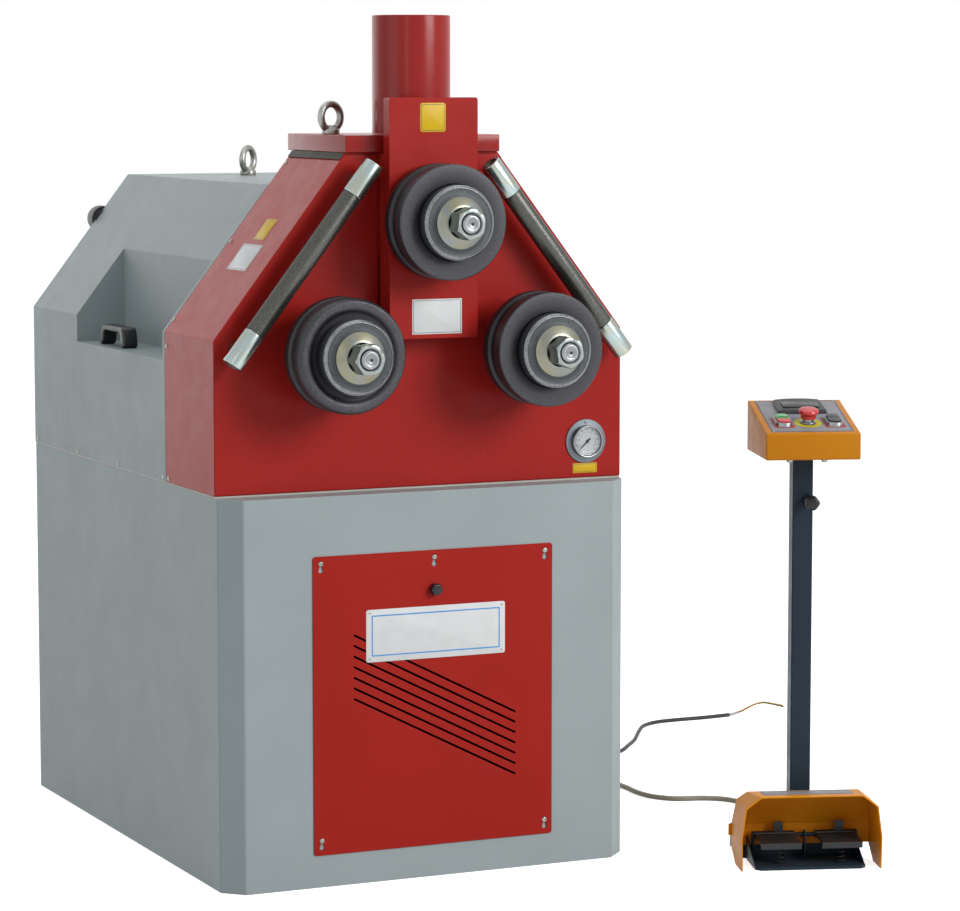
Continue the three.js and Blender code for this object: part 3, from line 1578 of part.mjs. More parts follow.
// Control box: folded desk with a sloped face, on a stem that slides in the post
const deskSlope = Math.atan2(box.backTop - box.frontTop, box.back - box.front);
function onDesk(form) {
  return form.rotateX(deskSlope).translate(-box.half, box.front, box.frontTop);
}
function buttonPlaces() {
  const step = button.reach + button.gap / 2;
  return {
    start_button: [box.bezelLeft, box.bezelUp + step, 'greenPlastic'],
    stop_button: [box.bezelLeft, box.bezelUp - step, 'redPlastic'],
    raise_button: [box.bezelRight, box.bezelUp + step, 'blackPlastic'],
    lower_button: [box.bezelRight, box.bezelUp - step, 'blackPlastic'],
  };
}
function controlBox() {
  const b = box;
  const profile = (inset) => [
    [b.front + inset, b.bottom + inset],
    [b.back - inset, b.bottom + inset],
    [b.back - inset, b.backTop - inset / Math.cos(deskSlope) - inset * Math.tan(deskSlope)],
    [b.front + inset, b.frontTop - inset / Math.cos(deskSlope) + inset * Math.tan(deskSlope)],
  ];
  const outside = drawnAcross(inPlane(profile(0)), -b.half, b.half);
  const inside = drawnAcross(inPlane(profile(b.wall)), -b.half + b.wall, b.half - b.wall);
  const stemHalf = b.stem / 2;
  const stemBottom = b.bottom - b.stemLength;
  const stem = block([-stemHalf, -stemHalf, stemBottom], [stemHalf, stemHalf, b.bottom + b.wall / 2]);
  const bore = block(
    [-stemHalf + b.stemWall, -stemHalf + b.stemWall, stemBottom - overrun],
    [stemHalf - b.stemWall, stemHalf - b.stemWall, b.bottom + b.wall + overrun],
  );
  const bezels = [b.bezelLeft, b.bezelRight].map((x) => {
    const frameShape = roundedRectangle(b.bezelHalf, b.bezelReach, b.bezelLip);
    return onDesk(raised(frameShape, -b.wall / 2, b.bezelHeight).translate(x, b.bezelUp, 0));
  });
  const wells = Object.values(buttonPlaces()).map(([x, up]) => {
    const well = roundedRectangle(button.half + seat, button.reach + seat, button.corner);
    return onDesk(raised(well, -b.wall - overrun, b.bezelHeight + overrun).translate(x, up, 0));
  });
  const estopHole = turnedUp(
    disc(bored(estop.stem / 2, round.small), -b.wall - overrun, overrun),
    round.small,
  );
  wells.push(onDesk(estopHole.translate(b.estopX, b.estopUp, 0)));
  const body = join(cut(outside, inside), stem, ...bezels);
  return piece('control_box', cut(body, bore, ...wells), 'orangePaint');
}
function pushButton(name, [x, up, finish]) {
  const b = button;
  const top = box.bezelHeight + b.proud;
  const cap = raised(roundedRectangle(b.half, b.reach, b.corner), -b.depth, top);
  return piece(name, onDesk(cap.translate(x, up, 0)), finish);
}
function emergencyStop() {
  const e = estop;
  const capBottom = e.stemProud;
  const r = e.cap / 2;
  const bore = e.spindle / 2 + seat;
  const cap = [
    [bore, capBottom],
    [e.capBase / 2, capBottom],
    [r - e.crown / 2, capBottom + e.crown],
    [r, capBottom + 2 * e.crown],
  ];
  cap.push(
    [r - e.crown / 4, capBottom + e.capHeight - e.crown],
    [r - e.crown, capBottom + e.capHeight],
    [0, capBottom + e.capHeight],
  );
  cap.push(
    [0, capBottom + e.spindleReach + seat],
    [bore, capBottom + e.spindleReach + seat],
    [bore, capBottom],
  );
  const stemTop = capBottom - seat;
  const stem = [
    [0, -e.stemDepth],
    [e.stem / 2, -e.stemDepth],
    [e.stem / 2, stemTop],
    [e.spindle / 2, stemTop],
  ];
  stem.push([e.spindle / 2, capBottom + e.spindleReach], [0, capBottom + e.spindleReach]);
  const place = (profile) => onDesk(turnedUp(profile, round.middle).translate(box.estopX, box.estopUp, 0));
  return [
    piece('estop_stem', place(stem), 'blackPlastic'),
    piece('estop_button', place(cap), 'redPlastic'),
  ];
}

// Position readout: a plinth on the sloped face with a raised surround and a sunken window
function displayUnit() {
  const d = display;
  const halfWide = (d.right - d.left) / 2;
  const halfHigh = (d.high - d.low) / 2;
  const plinth = raised(roundedRectangle(halfWide, halfHigh, d.corner), seat, d.base);
  const back = [
    [0, d.base / 2],
    [0, d.base],
    [halfHigh, d.hoodHeight],
    [2 * halfHigh - d.corner / 2, d.hoodHeight],
    [2 * halfHigh, d.base / 2],
  ];
  const wedge = drawnAcross(
    inPlane(back),
    -halfWide + d.hoodWall,
    halfWide - d.hoodWall,
  ).translate(0, -halfHigh, 0);
  const lift = Math.atan2(d.hoodHeight - d.base, halfHigh);
  const window = block(
    [-halfWide + d.windowLip, d.hoodWall, -d.windowDepth],
    [halfWide - d.windowLip, halfHigh - d.hoodWall, overrun],
  );
  window.rotateX(lift).translate(0, -halfHigh, d.base);
  const form = cut(join(plinth, wedge), window).translate((d.left + d.right) / 2, (d.low + d.high) / 2, 0);
  return piece('display_unit', onDesk(form), 'blackPlastic');
}

function machine() {
  const made = group(baseCabinet(), frontPanel(), panelKnob(), frontCover(), rearHousing(), rollFrame());
  made.add(pressCylinder(), pistonRod(), ramSlide(), topDrive(), lowerGearbox());
  made.add(bearingCartridge('top_bearing', 0, shafts.high, ram.blockBack));
  made.add(bearingCartridge('left_bearing', -shafts.spread, shafts.low, frame.back));
  made.add(bearingCartridge('right_bearing', shafts.spread, shafts.low, frame.back));
  made.add(rollSet('top', 0, shafts.high), rollSet('left', -shafts.spread, shafts.low));
  made.add(rollSet('right', shafts.spread, shafts.low));
  made.add(guideBar('left', -1), guideBar('right', 1), gaugeSet());
  made.add(eyeBolt('eye_bolt_front', eye.frontX, eye.frontY, roofTop, eye.frontTurn));
  made.add(eyeBolt('eye_bolt_rear', 0, eyeBack, housing.roof, eye.rearTurn));
  made.add(recessHandle(), rearWallCap(), powerPack(), electricalBox(), glandPlate());
  made.position.y = -cabinet.depth / 2;
  return made;
}

function controlPedestal() {
  const made = group(pedestalBase(), pedalHood(), controlPost(), postKnob(), controlBox(), displayUnit());
  made.add(footPedal('pedal_left', pedal.leftCentre), footPedal('pedal_right', pedal.rightCentre));
  made.add(returnSpring('spring_left', pedal.leftCentre), returnSpring('spring_right', pedal.rightCentre));
  made.add(...emergencyStop());
  for (const [name, place] of Object.entries(buttonPlaces())) made.add(pushButton(name, place));
  made.position.set(pedestal.x, pedestal.y, 0);
  made.rotation.z = THREE.MathUtils.degToRad(pedestal.turn);
  return made;
}

const bender = group(machine(), controlPedestal());
bender.add(
  cord('control_cable', controlCable, 'greyRubber'),
  cord('supply_lead', supplyLead, 'blackRubber'),
);

export default bender;
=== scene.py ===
# Floor-standing three-roll bender with its foot-pedal pedestal: the looks of each piece.
# Metres, +Z up, front towards -Y. Shapes are worked out in millimetres and placed by the matrices below.
import math
import bmesh
import bpy
import numpy as np
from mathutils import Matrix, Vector


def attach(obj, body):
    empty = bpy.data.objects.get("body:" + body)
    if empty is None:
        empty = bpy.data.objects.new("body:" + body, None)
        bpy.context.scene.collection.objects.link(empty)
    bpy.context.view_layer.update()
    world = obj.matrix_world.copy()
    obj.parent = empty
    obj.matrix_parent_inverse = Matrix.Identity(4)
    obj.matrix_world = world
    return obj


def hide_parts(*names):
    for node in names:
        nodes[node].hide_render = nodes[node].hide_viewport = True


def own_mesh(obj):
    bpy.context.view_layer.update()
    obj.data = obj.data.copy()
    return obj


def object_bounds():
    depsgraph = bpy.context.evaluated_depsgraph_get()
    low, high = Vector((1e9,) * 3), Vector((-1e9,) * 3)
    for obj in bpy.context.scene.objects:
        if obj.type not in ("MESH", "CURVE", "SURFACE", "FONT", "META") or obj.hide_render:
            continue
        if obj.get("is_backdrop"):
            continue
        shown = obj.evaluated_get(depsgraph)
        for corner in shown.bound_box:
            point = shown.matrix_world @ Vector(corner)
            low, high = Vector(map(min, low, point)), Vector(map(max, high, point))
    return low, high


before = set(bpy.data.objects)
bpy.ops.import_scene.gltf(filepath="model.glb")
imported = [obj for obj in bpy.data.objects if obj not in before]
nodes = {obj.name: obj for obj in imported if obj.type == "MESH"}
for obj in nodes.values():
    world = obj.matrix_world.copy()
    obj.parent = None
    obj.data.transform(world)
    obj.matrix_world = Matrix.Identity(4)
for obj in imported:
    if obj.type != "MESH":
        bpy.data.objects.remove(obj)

cadBox = [list(corner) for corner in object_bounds()]
mm = 0.001


# Frames: millimetres in a part's own frame to metres in the row's frame

# Unit matrix with the shift in its last column
def shifted(x, y, z):
    m = np.eye(4)
    m[:3, 3] = x, y, z
    return m


# Turn about an axis: cosine and sine of the angle in the plane of the other two
def turnedAbout(axis, degrees):
    c, s = math.cos(math.radians(degrees)), math.sin(math.radians(degrees))
    i, j = {"x": (1, 2), "y": (2, 0), "z": (0, 1)}[axis]
    m = np.eye(4)
    m[i, i], m[i, j], m[j, i], m[j, j] = c, -s, s, c
    return m


stand = {"x": 727.4, "y": -695.6, "turn": -18.7}  # the pedestal beside the machine
controlBox = {"half": 91.7, "front": -119, "back": 83, "bottom": 791.8, "frontTop": 843.1, "backTop": 889.5}
toMetres = np.diag([mm, mm, mm, 1.0])
row = np.eye(4)  # for shapes that are in the row's metres already
machine = toMetres @ shifted(0, -570, 0)
pedestal = toMetres @ shifted(stand["x"], stand["y"], 0) @ turnedAbout("z", stand["turn"])
deskRise, deskRun = controlBox["backTop"] - controlBox["frontTop"], controlBox["back"] - controlBox["front"]
deskFoot = shifted(-controlBox["half"], controlBox["front"], controlBox["frontTop"])
desk = pedestal @ deskFoot @ turnedAbout("x", math.degrees(math.atan2(deskRise, deskRun)))

# Camera: the photograph's viewing angle
print("stage: camera")
view = {"place": (-2.6580, -6.5462, 1.5184), "turn": (83.808, 0, -24.758),
        "lens": 130.744, "sensor": 36, "far": 60}
cameraData = bpy.data.cameras.new("camera")
cameraData.sensor_width, cameraData.lens, cameraData.clip_end = view["sensor"], view["lens"], view["far"]
camera = bpy.data.objects.new("camera", cameraData)
camera.location = view["place"]
camera.rotation_euler = [math.radians(degrees) for degrees in view["turn"]]
bpy.context.scene.collection.objects.link(camera)
bpy.context.scene.camera = camera
bpy.context.scene.view_settings.view_transform = "Standard"


# Shapes as grids of points, worked out on whole arrays

# Corners of a line cut short by radius and rounded: each is a quadratic curve with the corner as its handle
def softened(points, radius, steps=4, closed=False):
    points = [np.array(p, float) for p in points]
    out = []
    for i, p in enumerate(points):
        if not closed and i in (0, len(points) - 1):
            out.append(p)
            continue
        a, b = points[i - 1], points[(i + 1) % len(points)]
        la, lb = np.linalg.norm(a - p), np.linalg.norm(b - p)
        r = min(radius, 0.45 * la, 0.45 * lb)  # two corners never meet on a short side
        start, end = p + (a - p) / la * r, p + (b - p) / lb * r
        t = np.linspace(0, 1, steps + 1)[:, None]
        out.extend((1 - t) ** 2 * start + 2 * t * (1 - t) * p + t**2 * end)
    return np.array(out)


# A profile of (radius, along) carried round: u and v are radius times cosine and sine, w is along
def lathe(profile, sides=96):
    profile = np.asarray(profile, float)
    angle = np.arange(sides) * 2 * math.pi / sides
    radius, along = profile[:, :1], profile[:, 1:]
    return np.stack([radius * np.cos(angle), radius * np.sin(angle), along + 0 * angle], axis=2)


# A closed outline moved inwards: each point goes along the mitre of its two edges
def inset(outline, distance):
    p = np.asarray(outline, float)
    before, after = p - np.roll(p, 1, 0), np.roll(p, -1, 0) - p
    before /= np.linalg.norm(before, axis=1)[:, None]
    after /= np.linalg.norm(after, axis=1)[:, None]
    normal = np.stack([-before[:, 1] - after[:, 1], before[:, 0] + after[:, 0]], axis=1)
    scale = 1 + (before * after).sum(1)
    return p + distance * normal / np.maximum(scale, 0.35)[:, None]  # holds back sharp corners


# Closed outlines set at their levels, as the rows of a grid
def stacked(outlines):
    return np.stack([np.column_stack([outline, np.full(len(outline), level)]) for outline, level in outlines])


# An anticlockwise outline raised from low to high, its edges rounded by quarter circles of the bevel
def slab(outline, low, high, bevel=1.0, steps=3):
    t = np.linspace(0, math.pi / 2, steps + 1)
    edge = list(zip(bevel * (1 - np.cos(t)), bevel * (1 - np.sin(t))))
    levels = [(inset(outline, draw), low + rise) for rise, draw in edge]
    return stacked(levels + [(inset(outline, draw), high - rise) for rise, draw in edge[::-1]])


# Anticlockwise outline of a rectangle with quarter-circle corners, one radius or an upper and a lower one
def rounded(halfWide, halfHigh, corner, steps=6, centre=(0, 0)):
    t = np.linspace(0, math.pi / 2, steps + 1)
    upper, lower = corner if isinstance(corner, tuple) else (corner, corner)
    turns = [(1, 1, 0, upper), (-1, 1, 1, upper), (-1, -1, 2, lower), (1, -1, 3, lower)]
    arcs = [
        np.column_stack([
            sx * (halfWide - r) + r * np.cos(t + q * math.pi / 2),
            sy * (halfHigh - r) + r * np.sin(t + q * math.pi / 2),
        ])
        for sx, sy, q, r in turns
    ]
    return np.concatenate(arcs) + np.array(centre)


# Outline of a hand knob: the radius swells by a cosine once for each lobe
def lobed(radius, lobes, share, count=120):
    a = np.arange(count) * 2 * math.pi / count
    r = radius * (1 - share + share * np.cos(lobes * a))
    return np.column_stack([r * np.cos(a), r * np.sin(a)])


# Centripetal Catmull-Rom curve through the points, evaluated by its three-level blend
def smoothRoute(points, steps=8):
    p = np.array(points, float)
    p = np.vstack([2 * p[0] - p[1], p, 2 * p[-1] - p[-2]])
    out = []
    for i in range(1, len(p) - 2):
        quad = p[i - 1 : i + 3]
        gaps = np.linalg.norm(np.diff(quad, axis=0), axis=1) ** 0.5
        k = np.concatenate([[0], np.cumsum(gaps)])
        t = np.linspace(k[1], k[2], steps, endpoint=False)[:, None]
        blend = lambda near, far, a, b: ((b - t) * near + (t - a) * far) / (b - a)
        level = [blend(quad[j], quad[j + 1], k[j], k[j + 1]) for j in range(3)]
        level = [blend(level[j], level[j + 1], k[j], k[j + 2]) for j in range(2)]
        out.append(blend(level[0], level[1], k[1], k[2]))
    return np.vstack(out + [p[-2:-1]])


# A round section carried along a path by frames that never twist; one radius, or one for each point
def tube(path, radius, sides=14):
    path = np.asarray(path, float)
    tangent = np.gradient(path, axis=0)
    tangent /= np.linalg.norm(tangent, axis=1)[:, None]
    side = np.cross(tangent[0], [0, 0, 1.0] if abs(tangent[0][2]) < 0.9 else [1.0, 0, 0])
    radii = np.broadcast_to(radius, len(path))
    angle = np.arange(sides) * 2 * math.pi / sides
    rows = []
    for point, along, r in zip(path, tangent, radii):
        side = side - along * side.dot(along)
        side /= np.linalg.norm(side)
        up = np.cross(along, side)
        rows.append(point + r * (np.cos(angle)[:, None] * side + np.sin(angle)[:, None] * up))
    return np.stack(rows)


# Turns a grid's w axis to x, y or z and moves it to its centre
def laid(grid, way, centre=(0, 0, 0)):
    order = {"x": (2, 0, 1), "y": (0, 2, 1), "z": (0, 1, 2)}[way]
    return np.asarray(grid)[..., order] + np.array(centre, float)


# A grid of points as vertices, faces, face-corner coordinates (turn, distance) and a value per row for worn
# edges and painted highlight rings
def shell(grid, ringRows=False, ringColumns=True, caps=True, wear=None):
    grid = np.asarray(grid, float)
    rows, columns = grid.shape[:2]
    i = np.arange(rows if ringRows else rows - 1)[:, None]
    j = np.arange(columns if ringColumns else columns - 1)[None, :]
    corner = lambda a, b: ((i + a) % rows) * columns + (j + b) % columns
    quads = np.stack([corner(0, 0), corner(0, 1), corner(1, 1), corner(1, 0)], axis=2).reshape(-1, 4)
    step = np.linalg.norm(np.diff(grid, axis=0), axis=2).mean(1)
    reach = np.concatenate([[0], np.cumsum(step), [step.sum()]])
    uv = np.stack([
        np.stack([(j + b) / columns + 0 * i, reach[i + a] + 0.0 * j], axis=2)
        for a, b in ((0, 0), (0, 1), (1, 1), (1, 0))
    ], axis=2).reshape(-1, 2)
    faces = quads.tolist()
    if caps and ringColumns and not ringRows:
        faces += [list(range(columns))[::-1], list(range((rows - 1) * columns, rows * columns))]
        uv = np.vstack([uv, np.zeros((2 * columns, 2))])
    values = np.zeros(rows) if wear is None else np.asarray(wear, float)
    return grid.reshape(-1, 3), faces, uv, np.repeat(values, columns)


# Shell of a profile carried round an axis along way through the centre
def spun(profile, sides=96, way="z", centre=(0, 0, 0), **more):
    return shell(laid(lathe(profile, sides), way, centre), **more)


# Shell of an outline raised along way from the centre
def raised(outline, low, high, bevel=1.0, steps=3, way="z", centre=(0, 0, 0)):
    return shell(laid(slab(outline, low, high, bevel, steps), way, centre))


# One closed piece from its shells: vertices merged, faces turned outwards, edges over sharp degrees kept
def build(name, shells, finish, body, replaces=(), place=machine, sharp=38):
    points, faces, uvs, wears, base = [], [], [], [], 0
    for p, f, uv, wear in shells:
        points.append(p)
        faces += [[v + base for v in face] for face in f]
        uvs.append(uv)
        wears.append(wear)
        base += len(p)
    points = np.vstack(points) @ place[:3, :3].T + place[:3, 3]
    mesh = bpy.data.meshes.new(name)
    mesh.from_pydata(points, [], faces)
    mesh.uv_layers.new(name="turn").data.foreach_set("uv", np.vstack(uvs).ravel())
    mesh.attributes.new("wear", "FLOAT", "POINT").data.foreach_set("value", np.concatenate(wears))
    work = bmesh.new()
    work.from_mesh(mesh)
    bmesh.ops.remove_doubles(work, verts=work.verts, dist=2e-6)
    bmesh.ops.dissolve_degenerate(work, dist=1e-6, edges=work.edges)
    bmesh.ops.recalc_face_normals(work, faces=work.faces)
    work.to_mesh(mesh)
    work.free()
    mesh.shade_smooth()
    mesh.set_sharp_from_angle(angle=math.radians(sharp))
    piece = bpy.data.objects.new(name, mesh)
    bpy.context.scene.collection.objects.link(piece)
    mesh.materials.append(finish)
    if replaces:
        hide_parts(*replaces)
    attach(piece, body)
    return piece


# Materials

# Hex sRGB colour as linear light
def linear(text):
    parts = [int(text[i : i + 2], 16) / 255 for i in (1, 3, 5)]
    return (*[c / 12.92 if c <= 0.04045 else ((c + 0.055) / 1.055) ** 2.4 for c in parts], 1.0)


# A node with its settings; an input is given a value or the socket that feeds it
def add(tree, kind, inputs=(), **settings):
    made = tree.nodes.new(kind)
    for key, value in settings.items():
        setattr(made, key, value)
    for key, value in dict(inputs).items():
        if isinstance(value, bpy.types.NodeSocket):
            tree.links.new(value, made.inputs[key])
        else:
            made.inputs[key].default_value = value
    return made


# A material whose node tree is empty
def bare(name):
    made = bpy.data.materials.new(name)
    made.use_nodes = True
    made.node_tree.nodes.clear()
    return made, made.node_tree


# Colour between two hex colours by a factor socket
def blended(tree, factor, low, high):
    mix = add(tree, "ShaderNodeMix", data_type="RGBA")
    tree.links.new(factor, mix.inputs[0])
    mix.inputs[6].default_value, mix.inputs[7].default_value = linear(low), linear(high)
    return mix.outputs[2]


# A noise value stretched from start..end to low..high
def ranged(tree, value, low, high, start=0.3, end=0.7):
    inputs = {"Value": value, "From Min": start, "From Max": end, "To Min": low, "To Max": high}
    return add(tree, "ShaderNodeMapRange", inputs).outputs["Result"]


# Sprayed enamel: the colour drifts a little over a hand's width, gloss varies where it was wiped, and the
# surface has the fine waves of orange peel, spaced by peel in metres
def painted(name, colour, shade, rough=0.3, peel=0.0011, depth=0.00004, shine=0.12):
    made, tree = bare(name)
    at = add(tree, "ShaderNodeTexCoord").outputs["Object"]
    drift = add(tree, "ShaderNodeTexNoise", {"Vector": at, "Scale": 5.0, "Detail": 3.0, "Roughness": 0.55})
    wiped = add(tree, "ShaderNodeTexNoise", {"Vector": at, "Scale": 22.0, "Detail": 5.0, "Roughness": 0.65})
    waves = add(tree, "ShaderNodeTexNoise", {"Vector": at, "Scale": 1 / peel, "Detail": 1.0})
    colourOut = blended(tree, ranged(tree, drift.outputs["Fac"], 0, 1), colour, shade)
    gloss = ranged(tree, wiped.outputs["Fac"], rough - 0.05, rough + 0.08)
    bump = add(tree, "ShaderNodeBump", {"Height": waves.outputs["Fac"], "Strength": 0.5, "Distance": depth})
    shader = add(tree, "ShaderNodeBsdfPrincipled", {
        "Base Color": colourOut, "Roughness": gloss, "Normal": bump.outputs["Normal"],
        "Specular IOR Level": shine,
    })
    add(tree, "ShaderNodeOutputMaterial", {"Surface": shader.outputs[0]})
    return made


# Turned metal: fine lines run round the axis, spaced by lines per metre along the profile, with patches of
# tint; points marked with a share of the brighter colour show bare metal at worn edges and painted highlight
# rings
def machined(name, colour, tint, rough=0.3, lines=1500.0, wornAndLit="#9a9c9e", metal=1.0, grain=0.00002):
    made, tree = bare(name)
    at = add(tree, "ShaderNodeTexCoord")
    alongLines = {0: at.outputs["UV"], 1: (2.0, lines, 1.0)}
    stretched = add(tree, "ShaderNodeVectorMath", alongLines, operation="MULTIPLY")
    ring = add(tree, "ShaderNodeTexNoise", {"Vector": stretched.outputs[0], "Scale": 1.0, "Detail": 2.0})
    place = at.outputs["Object"]
    patch = add(tree, "ShaderNodeTexNoise", {"Vector": place, "Scale": 35.0, "Detail": 5.0, "Roughness": 0.6})
    speck = add(tree, "ShaderNodeTexNoise", {"Vector": place, "Scale": 420.0, "Detail": 2.0})
    body = blended(tree, ranged(tree, patch.outputs["Fac"], 0, 1), colour, tint)
    # share of the brighter colour at each point: bare metal on worn edges, and painted highlight rings
    wear = add(tree, "ShaderNodeAttribute", attribute_name="wear").outputs["Fac"]
    uneven = ranged(tree, speck.outputs["Fac"], 0.25, 1.0)
    rubbedAndLit = add(tree, "ShaderNodeMath", {0: wear, 1: uneven}, operation="MULTIPLY")
    mix = add(tree, "ShaderNodeMix", {0: rubbedAndLit.outputs[0], 6: body}, data_type="RGBA")
    mix.inputs[7].default_value = linear(wornAndLit)
    roughness = ranged(tree, ring.outputs["Fac"], rough - 0.07, rough + 0.1, 0.25, 0.75)
    bump = add(tree, "ShaderNodeBump", {"Height": ring.outputs["Fac"], "Strength": 0.5, "Distance": grain})
    shader = add(tree, "ShaderNodeBsdfPrincipled", {
        "Base Color": mix.outputs[2], "Roughness": roughness, "Metallic": metal,
        "Normal": bump.outputs["Normal"],
    })
    add(tree, "ShaderNodeOutputMaterial", {"Surface": shader.outputs[0]})
    return made


# Moulded plastic or rubber: an even fine grain, spaced by texture in metres, under a colour that hardly
# drifts
def moulded(name, colour, shade, rough=0.4, texture=0.0006, depth=0.00003, coat=0.0, shine=0.4):
    made, tree = bare(name)
    at = add(tree, "ShaderNodeTexCoord").outputs["Object"]
    drift = add(tree, "ShaderNodeTexNoise", {"Vector": at, "Scale": 30.0, "Detail": 4.0})
    grain = add(tree, "ShaderNodeTexNoise", {"Vector": at, "Scale": 1 / texture, "Detail": 2.0})
    colourOut = blended(tree, ranged(tree, drift.outputs["Fac"], 0, 1), colour, shade)
    gloss = ranged(tree, drift.outputs["Fac"], rough - 0.05, rough + 0.07)
    bump = add(tree, "ShaderNodeBump", {"Height": grain.outputs["Fac"], "Strength": 0.6, "Distance": depth})
    shader = add(tree, "ShaderNodeBsdfPrincipled", {
        "Base Color": colourOut, "Roughness": gloss, "Normal": bump.outputs["Normal"],
        "Specular IOR Level": shine, "Coat Weight": coat,
    })
    add(tree, "ShaderNodeOutputMaterial", {"Surface": shader.outputs[0]})
    return made


# Cast or forged metal with plating: shallow dents a few millimetres apart and uneven gloss
def forged(name, colour, tint, rough=0.35):
    made, tree = bare(name)
    at = add(tree, "ShaderNodeTexCoord").outputs["Object"]
    dents = add(tree, "ShaderNodeTexNoise", {"Vector": at, "Scale": 260.0, "Detail": 4.0})
    patch = add(tree, "ShaderNodeTexNoise", {"Vector": at, "Scale": 60.0, "Detail": 4.0})
    colourOut = blended(tree, ranged(tree, patch.outputs["Fac"], 0, 1), colour, tint)
    gloss = ranged(tree, dents.outputs["Fac"], rough - 0.08, rough + 0.12)
    bump = add(tree, "ShaderNodeBump", {"Height": dents.outputs["Fac"], "Strength": 0.5, "Distance": 0.0003})
    shader = add(tree, "ShaderNodeBsdfPrincipled", {
        "Base Color": colourOut, "Roughness": gloss, "Metallic": 1.0, "Normal": bump.outputs["Normal"],
    })
    add(tree, "ShaderNodeOutputMaterial", {"Surface": shader.outputs[0]})
    return made


# Flat gauge glass: clear, with a faint film that varies its gloss
def clear(name):
    made, tree = bare(name)
    at = add(tree, "ShaderNodeTexCoord").outputs["Object"]
    film = add(tree, "ShaderNodeTexNoise", {"Vector": at, "Scale": 60.0, "Detail": 3.0})
    shader = add(tree, "ShaderNodeBsdfPrincipled", {
        "Base Color": (1.0, 1.0, 1.0, 1.0), "Roughness": ranged(tree, film.outputs["Fac"], 0.01, 0.05),
        "Transmission Weight": 1.0, "IOR": 1.2,
    })
    add(tree, "ShaderNodeOutputMaterial", {"Surface": shader.outputs[0]})
    return made


print("stage: materials")
greyEnamel = painted("grey enamel, sprayed on folded sheet", "#9da7a8", "#98a1a2", 0.4, shine=0.1)
redEnamel = painted("deep red enamel, sprayed on folded sheet", "#a2231e", "#9c201b", 0.28)
glossRed = painted("deep red enamel, sprayed thick on tube and plate", "#961e1a", "#901b17", 0.22, shine=0.25)
panelRed = painted("bright red powder coat on flat sheet", "#a01f16", "#9a1d15", 0.36)
orangeEnamel = painted("orange enamel, sprayed on folded sheet", "#c07914", "#ba7412", 0.38)
hoodOrange = painted("orange enamel, sprayed on bent plate", "#de8d12", "#c87b08", 0.4)
inkEnamel = painted("blue-black enamel, sprayed on tube and plate", "#26323e", "#232e39", 0.36)
primedSteel = painted("dark grey primer on flame-cut plate", "#54585a", "#4b4f51", 0.5, depth=0.0001)
# The colour after the line spacing, where given, is the brighter one shown at worn edges and in painted
# highlight rings
blackedSteel = machined("tool steel, turned and blackened", "#262629", "#202023", 0.44, 1400, "#5c5c60", 0.7)
collarSteel = machined("tool steel collar, turned and oiled", "#33373a", "#2c2f31", 0.36, 1800, metal=0.85)
barSteel = machined("steel bar, turned and browned", "#373733", "#302f2b", 0.34, 900, "#6f716d", 0.85)
turnedSteel = machined("steel, turned bright", "#74777a", "#7a7c7e", 0.3, 2200, "#c0c2c4")
zincPlate = machined("zinc plating on turned steel, passed through yellow", "#858169", "#7c8284", 0.32, 1600,
                     "#8a9599")
sleeveZinc = machined("zinc plating on turned tube, passed through blue", "#9db0b8", "#a3a693", 0.24, 1600,
                      "#c3cccd")
zincForging = forged("zinc plating on a forging", "#989b9a", "#8b877c", 0.36)
stainless = machined("stainless steel, pressed and polished", "#8f9193", "#848688", 0.32, 2600, "#b0b2b3")
gaugeSteel = machined("stainless steel, pressed and brushed", "#666d72", "#5e656a", 0.42, 2600, "#c4c8ca")
blackPlastic = moulded("black plastic, moulded satin", "#17181a", "#1c1d1f", 0.38)
glossBlack = moulded("black plastic, moulded smooth", "#121315", "#17181a", 0.3, depth=0.00001, coat=0.1,
                     shine=0.3)
smokedWindow = moulded("smoked acrylic window, cut flat", "#191b1e", "#16181a", 0.18, depth=0.0, shine=0.3)
redPlastic = moulded("red plastic, moulded smooth", "#bf2628", "#b62426", 0.3, coat=0.3)
greenPlastic = moulded("green lens plastic, moulded smooth", "#2aa35a", "#23964f", 0.25, coat=0.4)
greyRubber = moulded("grey cable sheath, extruded", "#8f8676", "#867d6e", 0.5)
blackRubber = moulded("black cable sheath, extruded", "#27282a", "#222325", 0.46)
greyFoam = moulded("dark grey foam strip, cut", "#55564f", "#4c4d47", 0.8)
whitePlate = moulded("white lacquer on a thin metal plate", "#d6d8d7", "#cfd1d0", 0.36, shine=0.2)
dialWhite = moulded("matt white print on a gauge dial", "#a8acae", "#a2a6a8", 0.7, shine=0.1)
yellowPlate = moulded("yellow lacquer on a thin metal plate", "#d3ad17", "#cca614", 0.36, shine=0.2)
bluePrint = moulded("blue screen print", "#3c8fd0", "#3789c9", 0.35)
greyOverlay = moulded("silver-grey film on the control panel", "#8b898d", "#858387", 0.45, shine=0.1)
darkPrint = moulded("dark grey screen print", "#3a3c3e", "#343638", 0.4)
redPrint = moulded("red screen print", "#a4423a", "#9c3d35", 0.45, shine=0.12)
yellowRing = moulded("yellow film ring", "#c4b72b", "#bdb028", 0.45, shine=0.12)
earthGreen = moulded("green and yellow wire sheath, extruded", "#8fa23a", "#b5a83a", 0.45)
brownSheath = moulded("brown wire sheath, extruded", "#6b4030", "#633a2c", 0.45)
paleSleeve = moulded("pale inner cable sleeve, extruded", "#b9b6ae", "#aeaba3", 0.5)
gaugeGlass = clear("gauge glass, flat and clear")

